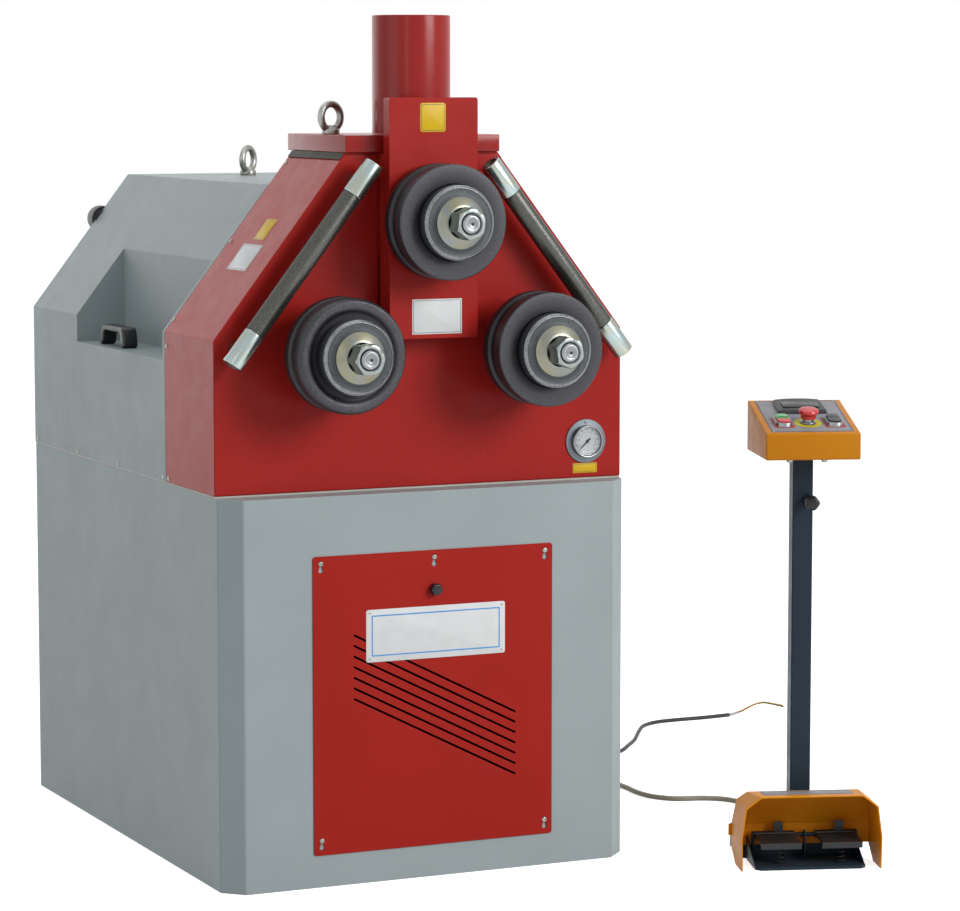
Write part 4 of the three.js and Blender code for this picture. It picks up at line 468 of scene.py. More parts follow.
# Cords: routes in millimetres in the row's frame
print("stage: cords")
controlRoute = [
    (447.6, 130, 90), (463, 130, 90), (488, 130, 84), (520, 128, 70), (570, 120, 42), (622, 104, 16),
    (668, 78, 6.2), (700, 38, 5.8), (704, -8, 5.8), (702, -60, 5.8), (712, -110, 5.8), (744, -150, 5.8),
    (802, -171, 5.8), (840, -203, 5.8), (854, -258, 5.8), (850, -330, 5.8), (836, -400, 5.8),
    (815, -462, 6.2), (794, -515, 12), (777, -551, 20.6), (770.4, -568.6, 22), (765.65, -582.6, 22),
]
leadRoute = [
    (447.6, 270, 100), (463, 270, 100), (490, 270, 93), (524, 272, 78), (580, 277, 46), (640, 285, 17),
    (700, 296, 5), (760, 309, 4.8), (826, 332, 4.8), (886, 373, 4.8), (930, 424, 4.8), (969, 472, 4.8),
    (1030, 566, 4.8), (1072, 622, 4.8), (1120, 650, 4.8), (1180, 656, 4.8), (1250, 655, 4.8),
    (1320, 661, 4.8),
]
innerRoute = [(1310, 660.2, 4.8), (1322, 661.4, 4.9), (1335, 665, 5.6), (1349, 670.6, 6.8)]
coreMiddle = np.array([
    (1338, 666, 6.0), (1362, 676, 8.2), (1402, 694, 15.6), (1437, 704, 18.4), (1466, 702, 12.6),
    (1488, 693, 6.6),
])
coreSpread = {"across": (0.6, -0.8), "lowest": 1.7, "radius": 1.5}
# Finish, offset aside and up from the middle, and how far the end drifts aside and lifts
cores = {
    "core_earth": (earthGreen, (0.3, 1.5), (0, 0)),
    "core_red": (redPlastic, (1.5, -0.6), (6, 3)),
    "core_brown": (brownSheath, (-1.4, -0.6), (-5, 0.2)),
}


# A sheath along its route, as a round tube
def cordPiece(name, route, radius, finish, replaces=(),
              sides=14):
    path = smoothRoute(route) * mm
    piece = build(name, [shell(tube(path, radius * mm, sides))], finish, "root", replaces, row, 60)


cordPiece("control_cable_sheath", controlRoute, 5.5, greyRubber,
          ["control_cable"])
cordPiece("supply_lead_sheath", leadRoute, 4.5, blackRubber,
          ["supply_lead"])
# Strain relief over the lead's first 43 mm, radii in millimetres
relief = {"points": 17, "thick": 7.2, "thin": 5.1, "rib": 0.5, "ribbed": 0.95}
reliefPath = smoothRoute(leadRoute)[: relief["points"]]
along = np.linspace(0, 1, relief["points"])
ribs = relief["rib"] * (np.arange(relief["points"]) % 2) * (along < relief["ribbed"])
taper = relief["thick"] + (relief["thin"] - relief["thick"]) * along - ribs
reliefShell = shell(tube(reliefPath * mm, taper * mm, 18))
build("supply_lead_relief", [reliefShell], blackRubber, "root", (), row, 60)
cordPiece("supply_lead_sleeve", innerRoute, 3.2, paleSleeve)
for name, (finish, (side, up), (drift, lift)) in cores.items():
    share = np.linspace(0, 1, len(coreMiddle))[:, None]
    acrossX, acrossY = coreSpread["across"]
    offset = np.hstack([side * acrossX + 0 * share, side * acrossY + drift * share**2, up + lift * share**2])
    route = coreMiddle + offset
    route[:, 2] = np.maximum(route[:, 2], coreSpread["lowest"])
    cordPiece(name, route, coreSpread["radius"], finish, (), 10)


# CAD nodes that keep their shape: edges softened by soft millimetres, and their material
def keep(name, finish, soft):
    node = nodes[name]
    node.data.materials.clear()
    node.data.materials.append(finish)
    joined = node.modifiers.new("joined", "WELD")
    joined.merge_threshold = 2e-5
    edge = node.modifiers.new("edge", "BEVEL")
    edge.width, edge.segments = soft * mm, 2
    edge.limit_method, edge.angle_limit = "ANGLE", math.radians(34)
    edge.harden_normals = True


# The node's sheet as its own piece: folds between two outermost faces get the fold radius, inner folds the
# inner one, and cut edges the small one, each as a share of the bevel's width
def folded(name, finish, body, slot, fold, edge, inner):
    mesh = nodes[name].data.copy()
    mesh.name = f"{name}_folded"
    work = bmesh.new()
    work.from_mesh(mesh)
    bmesh.ops.remove_doubles(work, verts=work.verts, dist=2e-5)
    bmesh.ops.dissolve_limit(work, angle_limit=math.radians(1), verts=work.verts, edges=work.edges)
    bmesh.ops.recalc_face_normals(work, faces=work.faces)
    work.verts.ensure_lookup_table()
    points = np.array([v.co for v in work.verts])
    outermost = {
        face.index: float(((points - np.array(face.verts[0].co)) @ np.array(face.normal)).max()) < 1e-4
        for face in work.faces
    }
    weight = work.edges.layers.float.new("bevel_weight_edge")
    for line in work.edges:
        if len(line.link_faces) != 2 or line.calc_face_angle(0) < math.radians(15):
            continue
        if all(outermost[face.index] for face in line.link_faces):
            line[weight] = 1.0
        elif line.is_convex:
            line[weight] = edge / fold
        elif line.calc_length() > 20 * mm:
            line[weight] = inner / fold
    work.to_mesh(mesh)
    work.free()
    mesh.materials.clear()
    mesh.materials.append(finish)
    mesh.shade_smooth()
    mesh.set_sharp_from_angle(angle=math.radians(14))
    piece = bpy.data.objects.new(f"{name}_folded", mesh)
    piece.matrix_world = nodes[name].matrix_world.copy()
    bpy.context.scene.collection.objects.link(piece)
    bend = piece.modifiers.new("fold", "BEVEL")
    bend.width, bend.segments, bend.limit_method = fold * mm, 4, "WEIGHT"
    bend.harden_normals = True
    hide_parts(name)
    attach(piece, body)


print("stage: sheet metal and plates")
# Finish, body, slot, and radii in millimetres of the outer folds, the cut edges and the inner folds
sheets = {
    "base_cabinet": (greyEnamel, "root", "grey_paint", 3.0, 0.7, 0.0),
    "rear_housing": (greyEnamel, "root", "grey_paint", 2.5, 0.6, 0.0),
    "front_cover": (redEnamel, "root", "red_paint", 3.2, 0.7, 0.0),
    "ram": (redEnamel, "ram_slide", "red_paint", 2.4, 1.2, 0.0),
    "pedal_hood": (hoodOrange, "root", "orange_paint", 8.0, 0.9, 5.6),
}
for name, settings in sheets.items():
    folded(name, *settings)
# Finish, and how far the edges are softened in millimetres
keptNodes = {
    "electrical_box": (greyEnamel, 1.5), "front_panel": (panelRed, 0.5), "frame": (redEnamel, 0.8),
    "top_drive": (primedSteel, 1.5), "lower_gearbox": (primedSteel, 2.0),
    "power_pack": (inkEnamel, 1.5), "pedestal_base": (inkEnamel, 1.0), "post": (inkEnamel, 0.4),
    "piston_rod": (turnedSteel, 0.8), "top_bearing": (turnedSteel, 0.8),
    "left_bearing": (turnedSteel, 0.8), "right_bearing": (turnedSteel, 0.8),
    "pedal_left": (blackPlastic, 0.8), "pedal_right": (blackPlastic, 0.8), "gland_plate": (blackPlastic, 0.6),
}
for name, (finish, soft) in keptNodes.items():
    keep(name, finish, soft)

# Cylinder barrel welded to its roof plate
print("stage: cylinder")
cylinder = {"axis": 98, "radius": 74, "top": 1634.6, "rim": 2.5, "bead": 6,
            "roofBottom": 1378.6, "roofTop": 1410.6, "roofHalf": (158, 146.5), "roofMiddle": (0, 187.5)}
around, foot, cylinderAt = cylinder["radius"], cylinder["roofTop"], (0, cylinder["axis"], 0)
barrelLine = [(0, foot - 10), (around, foot - 10), (around, cylinder["top"]), (0, cylinder["top"])]
beadLine = [
    (around - 3 + cylinder["bead"] * math.cos(a), foot - 2 + cylinder["bead"] * math.sin(a))
    for a in np.linspace(-math.pi / 2, math.pi, 12)
]
beadLine = [(around - 8, foot - 6), *beadLine, (around - 8, foot + 2)]
build("press_cylinder_dressed", [
    raised(rounded(*cylinder["roofHalf"], 2, 3, cylinder["roofMiddle"]), cylinder["roofBottom"], foot, 1.6),
    spun(softened(barrelLine, cylinder["rim"], 5), 128, "z", cylinderAt),
    spun(beadLine, 128, "z", cylinderAt, ringRows=True),
], glossRed, "root", ["press_cylinder"])

# Rolls, collars, nuts and shafts: profiles of (radius, along) in millimetres, 0 at the cabinet's front face
print("stage: rolls")
roll = {"radius": 107.7, "bore": 30.4, "back": -20, "front": -97, "seat": 70.9, "seatDepth": 4, "chamfer": 2,
        "groove": 6, "grooveAt": (-69, -65, -48, -44), "corner": 1.0,
        "bulge": ((27, 4.5), (19, -0.5), (5, -1), (0, 9)), "bulgeSeat": 4.5, "bulgeCorner": 3.2}
# The collar's per-point shares of the brighter colour: worn edges, and a painted highlight ring on the outer
# chamfer
collar = {
    "line": [(30.3, -128), (52, -128), (53, -127), (63, -127), (64, -128), (65, -128), (70, -123),
             (70, -93.3), (30.3, -93.3)],
    "wear": [0, 0.1, 0.1, 0.2, 0.4, 0.9, 0.8, 0.1, 0], "corner": 0.6,
}
nut = {
    "cone": [(19.3, -128.3), (48.4, -128.3), (48.4, -130.3), (33, -138.2), (30, -139), (19.3, -139)],
    # At this share the whole hexagon takes the zinc's brighter, bluer colour
    "half": 26.6, "wear": 0.95,  # half the width across flats
    "cutBack": [(60, -138), (30.4, -176.2), (29.2, -177.1), (27.6, -178.1), (26.2, -178.6)],
    "bore": [(22, -178.6), (19.6, -176.4), (19.3, -138)],
}
shaft = {
    "line": [(0, -174), (2.2, -175), (2.9, -180.1), (10.5, -180.1), (11.5, -180.5), (14.8, -180.5),
             (18.2, -177.2), (18.6, -139), (30, -139), (30, -19.7), (48, -19.7), (48, 52), (30, 52),
             (30, 312), (25, 312), (25, 340), (0, 340)],
    "wear": [0] * 4 + [0.3, 0.4, 0.3] + [0] * 10, "corner": 0.5,
}
# x and z of the axis, the body, and the degrees by which the nut is turned
shaftPlaces = {
    "top": (0, 1251.5, "top_roll_set", -7), "left": (-201.4, 1009, "left_roll_set", 35),
    "right": (201.4, 1009, "right_roll_set", 9),
}


# Half section of a roll: seat for the collar, flat or bulged face, two flanges and the groove between them,
# with a share of the brighter colour per point for worn edges and painted highlight rings on the face's rim
def rollLine(bulged):
    outer, deep = roll["radius"], roll["radius"] - roll["groove"]
    front, seatDepth = roll["front"], roll["seatDepth"]
    if bulged:
        face = [(outer - inward, front + back) for inward, back in roll["bulge"]]
        wornAndLit = [0, 0, 0, 0.05, 0.6, 0.5, 0.35]
        front, seatDepth = front + roll["bulgeSeat"], 0
    else:
        face = [(outer - roll["chamfer"], front), (outer, front + roll["chamfer"])]
        wornAndLit = [0, 0, 0.1, 0.55, 0.5]
    grooveLine = zip((outer, deep, deep, outer), roll["grooveAt"])
    line = [
        (roll["bore"], front + seatDepth), (roll["seat"], front + seatDepth), (roll["seat"] + 0.4, front),
        *face, *grooveLine,
        (outer, roll["back"] - 4), (outer - 4, roll["back"]), (roll["bore"], roll["back"]),
    ]
    return line, wornAndLit + [0.4, 0, 0, 0.35, 0.1, 0.1, 0]


# The profile with its corners rounded, each new point with the share of its corner for wear and painted
# highlight
def softLine(line, wornAndLit, radius, steps=3):
    out = softened(line, radius, steps)
    values = [wornAndLit[0]] + [w for w in wornAndLit[1:-1] for _ in range(steps + 1)] + [wornAndLit[-1]]
    return out, values


for side, (x, z, body, turn) in shaftPlaces.items():
    axis, bulged = (x, 0, z), side == "left"
    line, wornAndLit = softLine(*rollLine(bulged), roll["bulgeCorner"] if bulged else roll["corner"])
    build(f"{side}_roll_turned", [spun(line, 144, "y", axis, ringRows=True, wear=wornAndLit)],
          blackedSteel, body, [f"{side}_roll"])
    line, wornAndLit = softLine(collar["line"], collar["wear"], collar["corner"])
    build(f"{side}_collar_turned", [spun(line, 128, "y", axis, ringRows=True, wear=wornAndLit)],
          collarSteel, body, [f"{side}_collar"])
    # Nut: conical washer face, then a hexagon whose corners are cut back by a cone
    angle = np.arange(144) * 2 * math.pi / 144
    circle = np.column_stack([np.cos(angle), np.sin(angle)])
    flat = nut["half"] / np.cos((angle - math.radians(turn) + math.pi / 6) % (math.pi / 3) - math.pi / 6)
    hexRows = [(np.minimum(flat, limit)[:, None] * circle, level) for limit, level in nut["cutBack"]]
    hexRows += [(radius * circle, level) for radius, level in nut["bore"]]
    build(f"{side}_clamp_nut_turned", [
        spun(softened(nut["cone"], 0.7, 3), 144, "y", axis, ringRows=True),
        shell(laid(stacked(hexRows), "y", axis), ringRows=True, wear=[nut["wear"]] * len(hexRows)),
    ], zincPlate, body, [f"{side}_clamp_nut"], sharp=25)
    line, wornAndLit = softLine(shaft["line"], shaft["wear"], shaft["corner"], 2)
    build(f"{side}_shaft_turned", [spun(line, 96, "y", axis, wear=wornAndLit)], turnedSteel, body,
          [f"{side}_shaft"])

# Two struck lines across the left roll's face, between its collar and its rim
struck = {"turn": 247, "apart": (-2.3, 2.3), "middle": 90.5, "half": (10.5, 0.7), "low": -97.5, "high": -94.0}
leftX, leftZ = shaftPlaces["left"][:2]
strokes = []
for aside in struck["apart"]:
    outline = rounded(*struck["half"], 0.5, 3, (struck["middle"], aside))
    stroke = slab(outline, struck["low"], struck["high"], 0.3, 1) @ turnedAbout("z", struck["turn"])[:3, :3].T
    strokes.append(shell(laid(stroke, "y", (leftX, 0, leftZ))))
build("left_roll_lines", strokes, collarSteel, "left_roll_set")

# Guide bars between their sleeves
print("stage: guide bars")
guide = {"low": (403, 992), "high": (118.5, 1358), "bar": 19, "core": 13, "chamfer": 1.4,
         "sleeve": 20, "sleeveBore": 13.6, "sleeveLength": 73, "post": 12, "cover": 47.3}
(lowX, lowZ), (highX, highZ) = guide["low"], guide["high"]
run, rise = lowX - highX, highZ - lowZ
barLength, lean = math.hypot(run, rise), math.degrees(math.atan2(run, rise))
core, bar, post, chamfer = guide["core"], guide["bar"], guide["post"], guide["chamfer"]
barLine = [(0, 3), (core, 3), (core, 72.6), (bar - chamfer, 72.6), (bar, 72.6 + chamfer)]
barLine += [(radius, barLength - along) for radius, along in barLine[::-1]]
barLine, wornAndLit = softLine(barLine, [0, 0, 0, 0.5, 0.6, 0.6, 0.5, 0, 0, 0], 0.5)
postLine = softened([
    (0, 17), (post, 17), (post, guide["cover"] - 3), (post + 0.8, guide["cover"]), (0, guide["cover"]),
], 0.6, 2)
for side, mirror in (("left", -1), ("right", 1)):
    place = machine @ shifted(mirror * lowX, 0, lowZ) @ turnedAbout("y", -mirror * lean)
    build(f"{side}_guide_bar_turned", [spun(barLine, wear=wornAndLit)], barSteel, "root",
          [f"{side}_guide_bar"], place)
    for level, low in (("lower", 0), ("upper", barLength - guide["sleeveLength"])):
        high, outer, bore = low + guide["sleeveLength"], guide["sleeve"], guide["sleeveBore"]
        sleeveLine = softened([
            (bore, low), (outer - chamfer, low), (outer, low + chamfer),
            (outer, high - chamfer), (outer - chamfer, high), (bore, high),
        ], 0.5, 2)
        sleeve, standoff = spun(sleeveLine, ringRows=True), spun(postLine, 48, "y", (0, 0, (low + high) / 2))
        build(f"{side}_{level}_sleeve_turned", [sleeve, standoff], sleeveZinc, "root",
              [f"{side}_{level}_sleeve"], place)

# Pressure gauge: flanged case, printed dial, needle and glass
print("stage: gauge")
gauge = {
    "x": 345, "z": 817, "needle": -135,
    "case": [(0, 43.3), (27.4, 43.3), (27.7, 43), (27.7, 37.2), (28.4, 36.6), (28.4, 34.6), (28.8, 33.9),
             (30.2, 33.3), (31.5, 34.8), (31.5, 44.9), (42.1, 44.9), (42.5, 45.3), (42.5, 47.3), (30, 47.3),
             (30, 75.3), (7, 75.3), (7, 91.3), (0, 91.3)],
    "rim": [(28.7, 33.2), (30.4, 32.7), (32.0, 34.4), (32.0, 44.8), (31.3, 44.8), (31.3, 35.2), (30.2, 34.2),
            (28.7, 34.2)],
    "dial": [(0, 43.25), (27.55, 43.25), (27.55, 37.0), (27.35, 37.0), (27.2, 38.9), (26.9, 39.3), (0, 39.3)],
    "hand": [(-2.0, -8), (2.0, -8), (1.5, 0), (0.5, 20.5), (0, 22), (-0.5, 20.5), (-1.5, 0)],
    "hub": [(0, 37.0), (2.8, 37.0), (3, 37.3), (3, 39.2), (0, 39.2)],
    "lens": [(0, 34.9), (28.1, 34.9), (28.1, 36.1), (0, 36.1)],
}
# Inner radius and half width of long and short marks, and the two arcs printed inside them, in degrees
dial = {"marks": 51, "long": (20.4, 0.6), "short": (23.0, 0.26), "outer": 25.4, "start": 225, "sweep": 270,
        "face": 39.2, "arcs": ((60, 225), (-45, 20)),
        "arcLine": ((17.6, 39.05), (18.1, 39.05), (18.1, 39.35), (17.6, 39.35))}
gaugeAt = (gauge["x"], 0, gauge["z"])
caseShell = spun(softened(gauge["case"], 0.5, 2), 128, "y", gaugeAt)
build("gauge_case_pressed", [caseShell], gaugeSteel, "root", ["gauge_case"])
rimShell = spun(softened(gauge["rim"], 0.4, 2), 128, "y", gaugeAt, ringRows=True)
build("gauge_rim", [rimShell], stainless, "root")
build("gauge_dial", [spun(gauge["dial"], 96, "y", gaugeAt)], dialWhite, "root")
marks = []
for i in range(dial["marks"]):
    inner, half = dial["long"] if i % 5 == 0 else dial["short"]
    turn = turnedAbout("y", dial["sweep"] * i / (dial["marks"] - 1) - dial["start"])[:3, :3]
    outline = rounded((dial["outer"] - inner) / 2, half, 0.1, 1, ((dial["outer"] + inner) / 2, 0))
    mark = laid(slab(outline, -0.08, 0.12, 0.04, 1), "y") @ turn.T
    marks.append(shell(mark + np.array([gauge["x"], dial["face"], gauge["z"]])))
for start, stop in dial["arcs"]:
    a = np.radians(np.linspace(start, stop, 40))
    band = np.stack([
        np.column_stack([gauge["x"] + r * np.cos(a), np.full(40, y), gauge["z"] + r * np.sin(a)])
        for r, y in dial["arcLine"]
    ])
    marks.append(shell(band.transpose(1, 0, 2)))
build("gauge_marks", marks, darkPrint, "root")
hand = raised(gauge["hand"], 37.6, 38.2, 0.15, 1, "y")
hub = spun(softened(gauge["hub"], 0.2, 2), 48, "y")
build("gauge_needle_cut", [hand, hub], glossBlack, "needle", ["gauge_needle"],
      machine @ shifted(*gaugeAt) @ turnedAbout("y", gauge["needle"]))
lens = spun(softened(gauge["lens"], 0.15, 2), 96, "y", gaugeAt)
build("gauge_glass_lens", [lens], gaugeGlass, "root", ["gauge_glass"])


# Small screws: a pan head whose recess draws in by the squared cosine of twice the angle, which makes a cross
def screwShells(places, radius=5.2, height=2.6):
    a = np.arange(32) * 2 * math.pi / 32
    head = [(0, -1.0), (radius, -1.0), (radius, height * 0.35), (radius * 0.66, height), (0, height)]
    line = list(softened(head, radius * 0.2, 3)[:-1])
    line += [(radius * 0.36, height), (radius * 0.26, height * 0.45), (0, height * 0.45)]
    out = []
    for place, normal in places:
        n = np.array(normal, float)
        n /= np.linalg.norm(n)
        side = np.cross(n, [0, 0, 1.0] if abs(n[2]) < 0.9 else [1.0, 0, 0])
        side /= np.linalg.norm(side)
        up = np.cross(n, side)
        rows = []
        for r, w in line:
            notch = r * (1 - 0.45 * np.cos(2 * a) ** 2) if r < radius * 0.4 else r + 0 * a
            flatRow = np.outer(notch * np.cos(a), side) + np.outer(notch * np.sin(a), up)
            rows.append(np.array(place) + flatRow + n * w)
        out.append(shell(np.stack(rows)))
    return out


print("stage: screws and plates")
wall = {"x": 421.0, "z": 1035, "run": 259, "rise": 335}  # the red walls: foot and slope of their slanted part
slantLength = math.hypot(wall["rise"], wall["run"])
outX, outZ = wall["rise"] / slantLength, wall["run"] / slantLength
slantPlaces = ((403.2, 309, 1058), (288.6, 302, 1206.3), (173.9, 303, 1354.6))
coverScrews = [((m * wall["x"], 303, 1009), (m, 0, 0)) for m in (-1, 1)]
coverScrews += [((m * x, y, z), (m * outX, 0, outZ)) for m in (-1, 1) for x, y, z in slantPlaces]
build("cover_screws", screwShells(coverScrews, 4.6, 2.4), zincForging, "root")
seam = [((m * wall["x"], y, 754), (m, 0, 0)) for m in (-1, 1) for y in (1119, 851, 593, 331, 299)]
rearPlaces = [(x, z) for x in (-380, 0, 380) for z in (754, 1010)] + [(-180, 1290), (180, 1290)]
rear = [((x, 1139.0, z), (0, 1, 0)) for x, z in rearPlaces]
build("housing_screws", screwShells(seam + rear, 4.6, 2.4), zincForging, "root")
panelPlaces = ((-230, 616), (2, 616), (234, 616), (-230, 90), (234, 90))
panelScrews = [((x, -2.3, z), (0, -1, 0)) for x, z in panelPlaces]
build("panel_screws", screwShells(panelScrews, 5.2, 2.8), zincForging, "root")
gaugeScrews = [
    ((gauge["x"] + 37 * math.cos(a), 45.3, gauge["z"] + 37 * math.sin(a)), (0, -1, 0))
    for a in np.radians([90, 210, 330])
]
build("gauge_screws", screwShells(gaugeScrews, 3.0, 2.2), stainless, "root")


# Thin plate on a flat face, in the plane's own u and v; a border (gap, width, ink) is printed inside its edge
def platePiece(name, u, v, halfWide, halfHigh, finish, body, place, corner, thick, low, border=None):
    outline, top = rounded(halfWide, halfHigh, corner, 6, (u, v)), low + thick
    build(name, [raised(outline, low, top, 0.25, 2)], finish, body, (), place)
    if border:
        gap, width, ink = border
        bend = max(corner - gap / 2, 1)
        outer = rounded(halfWide - gap, halfHigh - gap, bend, 6, (u, v))
        inner = rounded(halfWide - gap - width, halfHigh - gap - width, bend * 0.8, 6, (u, v))
        rows = stacked([(outer, top - 0.1), (outer, top + 0.12), (inner, top + 0.12), (inner, top - 0.1)])
        build(f"{name}_border", [shell(rows, ringRows=True)], ink, body, (), place)


# A frame whose u runs right, v runs up and w points out of the face
def facing(origin, right, up):
    m = np.eye(4)
    right, up = np.array(right, float), np.array(up, float)
    right /= np.linalg.norm(right)
    up -= right * up.dot(right)
    up /= np.linalg.norm(up)
    m[:3, 0], m[:3, 1], m[:3, 2], m[:3, 3] = right, up, np.cross(right, up), origin
    return machine @ m


# Upright face at a depth, seen from the front
def frontFace(y):
    return facing((0, y, 0), (1, 0, 0), (0, 0, 1))


# Distance along the slanted wall from its foot: the height above it times the wall's length over its rise
def alongSlant(z):
    return (z - wall["z"]) * slantLength / wall["rise"]


coverFace, ramFace = frontFace(47.6), frontFace(-7)
slantFace = facing((-wall["x"], 0, wall["z"]), (0, -1, 0), (wall["run"], 0, wall["rise"]))
rivets = {"x": (-132, 142), "z": (429.5, 516.5), "radius": 1.9, "height": 1.1}
platePiece("name_place", 5, 473, 144, 50, whitePlate, "access_panel", frontFace(-2.3), 4.5, 1.2, 0,
           (11, 2.4, bluePrint))
rivetPlaces = [((x, -3.5, z), (0, -1, 0)) for x in rivets["x"] for z in rivets["z"]]
rivetShells = screwShells(rivetPlaces, rivets["radius"], rivets["height"])
build("name_place_rivets", rivetShells, zincForging, "access_panel")
# Middle in u and v, half width, half height, finish, body, face, corner, and the border's gap and width
plates = {
    "ram_upper_plate": (-2, 1444, 26, 27, yellowPlate, "ram_slide", ramFace, 5, 2.6, 0.8),
    "ram_lower_plate": (6, 1072, 51, 33, whitePlate, "ram_slide", ramFace, 1.5, 2.4, 0.8),
    "gauge_plate": (344, 764.5, 26, 9.5, yellowPlate, "root", coverFace, 1.2, 1.8, 0.6),
    "slant_upper_plate": (-172, alongSlant(1233), 27, 24, yellowPlate, "root", slantFace, 3, 2.4, 0.8),
    "slant_lower_plate": (-178, alongSlant(1181), 49, 30, whitePlate, "root", slantFace, 1.5, 2.4, 0.8),
}
for name, (*settings, gap, width) in plates.items():
    platePiece(name, *settings, 0.5, 0, (gap, width, darkPrint))

# Wiper strips beside the ram's block and a filler above it: x, z, half width and half height
strips = ((-91.3, 1190, 2.9, 153), (91.3, 1190, 2.9, 153), (0, 1357, 93.6, 9.6))
stripShells = [raised(rounded(w, h, 0.8, 3, (x, z)), -5.4, -2.6, 0.5, 2) for x, z, w, h in strips]
build("slot_strips", stripShells, redEnamel, "root", (), coverFace)
# Liners in the slot's sides, seals under the roof plate, and a pale strip under the cover: a painted
# highlight along the deck's lit edge
liner = {"inner": 84.4, "outer": 88.4, "front": 20.6, "back": 46.4, "low": 1033.5, "high": 1376.5,
         "bottom": 4}
inner, outer, low, high = liner["inner"], liner["outer"], liner["low"], liner["high"]
linerSpans = [(inner, outer, high), (-outer, -inner, high), (-inner, inner, low + liner["bottom"])]
build("ram_side_liners", [
    raised([(near, low), (far, low), (far, top), (near, top)], liner["front"], liner["back"], 0.6, 2, "y")
    for near, far, top in linerSpans
], redEnamel, "ram_slide")
sealLine = [(163.2, 1366.2), (167.6, 1366.2), (158.4, 1378.2), (154.0, 1378.2)]
seals = [raised([(m * x, z) for x, z in sealLine][::m], 52, 312, 0.8, 2, "y") for m in (1, -1)]
build("roof_seal_strips", seals, greyFoam, "root")
# Pale strip round the deck under the cover's edge, a painted highlight of the lit deck edge
deckHighlight = {"outline": [(-420, 47.8), (420, 47.8), (420, 1138.4), (-420, 1138.4)], "gap": 0.3, "width": 9,
          "low": 742.3, "high": 745.7}
deckHighlightSteps = (("gap", "low"), ("gap", "high"), ("width", "high"), ("width", "low"))
deckHighlightRows = stacked([(inset(deckHighlight["outline"], deckHighlight[edge]), deckHighlight[level]) for edge, level in deckHighlightSteps])
build("deck_highlight_strip", [shell(deckHighlightRows, ringRows=True)], paleSleeve, "root")

# Knob on the lift-off panel: grip, pin and the tongue behind
panelKnob = {"at": (2, 0, 555), "grip": (11.6, 6, 0.06), "pin": [(0, -6), (4, -6), (4, 6.6), (0, 6.6)]}
build("panel_knob_moulded", [
    raised(lobed(*panelKnob["grip"]), -17.6, -2.6, 2.6, 4, "y", panelKnob["at"]),
    spun(softened(panelKnob["pin"], 0.4, 2), 48, "y", panelKnob["at"]),
    raised(rounded(7, 17, 3, 4, (2, 565)), 3.6, 6.6, 0.4, 2, "y"),
], glossBlack, "quarter_turn_knob", ["panel_knob"])

# Eye bolts: a forged ring whose tube thickens into the neck, over a round collar
print("stage: eye bolts and handle")
eyeBolt = {
    "ring": 24.5, "wire": 7, "swell": 0.06, "flat": 0.92, "middle": 32.5,
    "foot": [(0, -22), (8, -22), (8, 0), (16.8, 0), (16.8, 9.4), (13.5, 11), (10.5, 13), (9.2, 17), (0, 17)],
    "places": {"eye_bolt_front": (-128, 187, 1410.9, 20), "eye_bolt_rear": (0, 961, 1312.3, 40)},
}
u = np.arange(96)[:, None] * 2 * math.pi / 96
v = np.arange(32)[None, :] * 2 * math.pi / 32
thick = eyeBolt["wire"] * (1 - eyeBolt["swell"] * np.cos(2 * u))
reach = eyeBolt["ring"] + thick * np.cos(v)
ringGrid = np.stack([
    reach * np.sin(u), eyeBolt["flat"] * thick * np.sin(v), eyeBolt["middle"] - reach * np.cos(u),
], axis=2)
eyeShells = [shell(ringGrid, ringRows=True), spun(softened(eyeBolt["foot"], 1.0, 3), 64)]
for name, (x, y, z, turn) in eyeBolt["places"].items():
    build(f"{name}_forged", eyeShells, zincForging, "root", [name],
          machine @ shifted(x, y, z) @ turnedAbout("z", turn))

# Bridge handle in the tray and the cap on the rear wall
handle = {
    "line": [(-71, 0), (-66, 26), (-60, 41), (66, 41), (74, 26), (84, 0), (62, 0), (57, 29), (-43, 29),
             (-46, 0)],
    "corner": 10, "wide": 31, "bevel": 5, "at": (-400, 686, 980.3),
}
handleOutline = softened(handle["line"][::-1], handle["corner"], 6, closed=True)
handleShell = raised(handleOutline, 0, handle["wide"], handle["bevel"], 5, "x", handle["at"])
build("recess_handle_moulded", [handleShell], blackPlastic, "root", ["recess_handle"])
rearCap = {
    "line": [(0, -6.7), (19.5, -6.7), (19.5, 0.3), (28, 0.3), (28, 36.3), (22, 36.3), (20, 34), (0, 34)],
    "corner": 2.5, "at": (-260, 1139, 1217),
}
capShell = spun(softened(rearCap["line"], rearCap["corner"], 4), 96, "y", rearCap["at"])
build("rear_cap_moulded", [capShell], blackPlastic, "root", ["rear_cap"])

# Film strip on the hood's top, which drops 8 mm in 97
hoodDrop = math.degrees(math.atan2(8, 97))
stripFace = pedestal @ shifted(0, -142, 145) @ turnedAbout("x", -hoodDrop)
platePiece("hood_strip", 0, 58, 88, 30, greyOverlay, "root", stripFace, 3, 0.5, 0, (2.2, 0.7, darkPrint))

# Springs under the pedals: a helix whose ends lie flat
spring = {"turns": 5, "low": 6.4, "high": 44.2, "radius": 8, "wire": 1.2, "y": -103,
          "hingeY": -42, "swing": 5, "centres": {"left": -55, "right": 64.5}}
tall, inFromEnd = spring["high"] - spring["low"], spring["wire"] + 0.1
t = np.linspace(0, 1, spring["turns"] * 28 + 1)
angle = 2 * math.pi * spring["turns"] * t
z = spring["low"] + inFromEnd + (tall - 2 * inFromEnd) * np.clip((t - 0.1) / 0.8, 0, 1)
coil = np.column_stack([spring["radius"] * np.cos(angle), spring["radius"] * np.sin(angle), z])
for side, centre in spring["centres"].items():
    wound = build(f"spring_{side}_wound", [shell(tube(coil, spring["wire"], 12))], blackedSteel, "root",
                  [f"spring_{side}"], pedestal @ shifted(centre, spring["y"], 0), 60)
    under = (pedestal @ shifted(centre, spring["y"], spring["low"]))[:3, 3]
    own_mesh(wound)

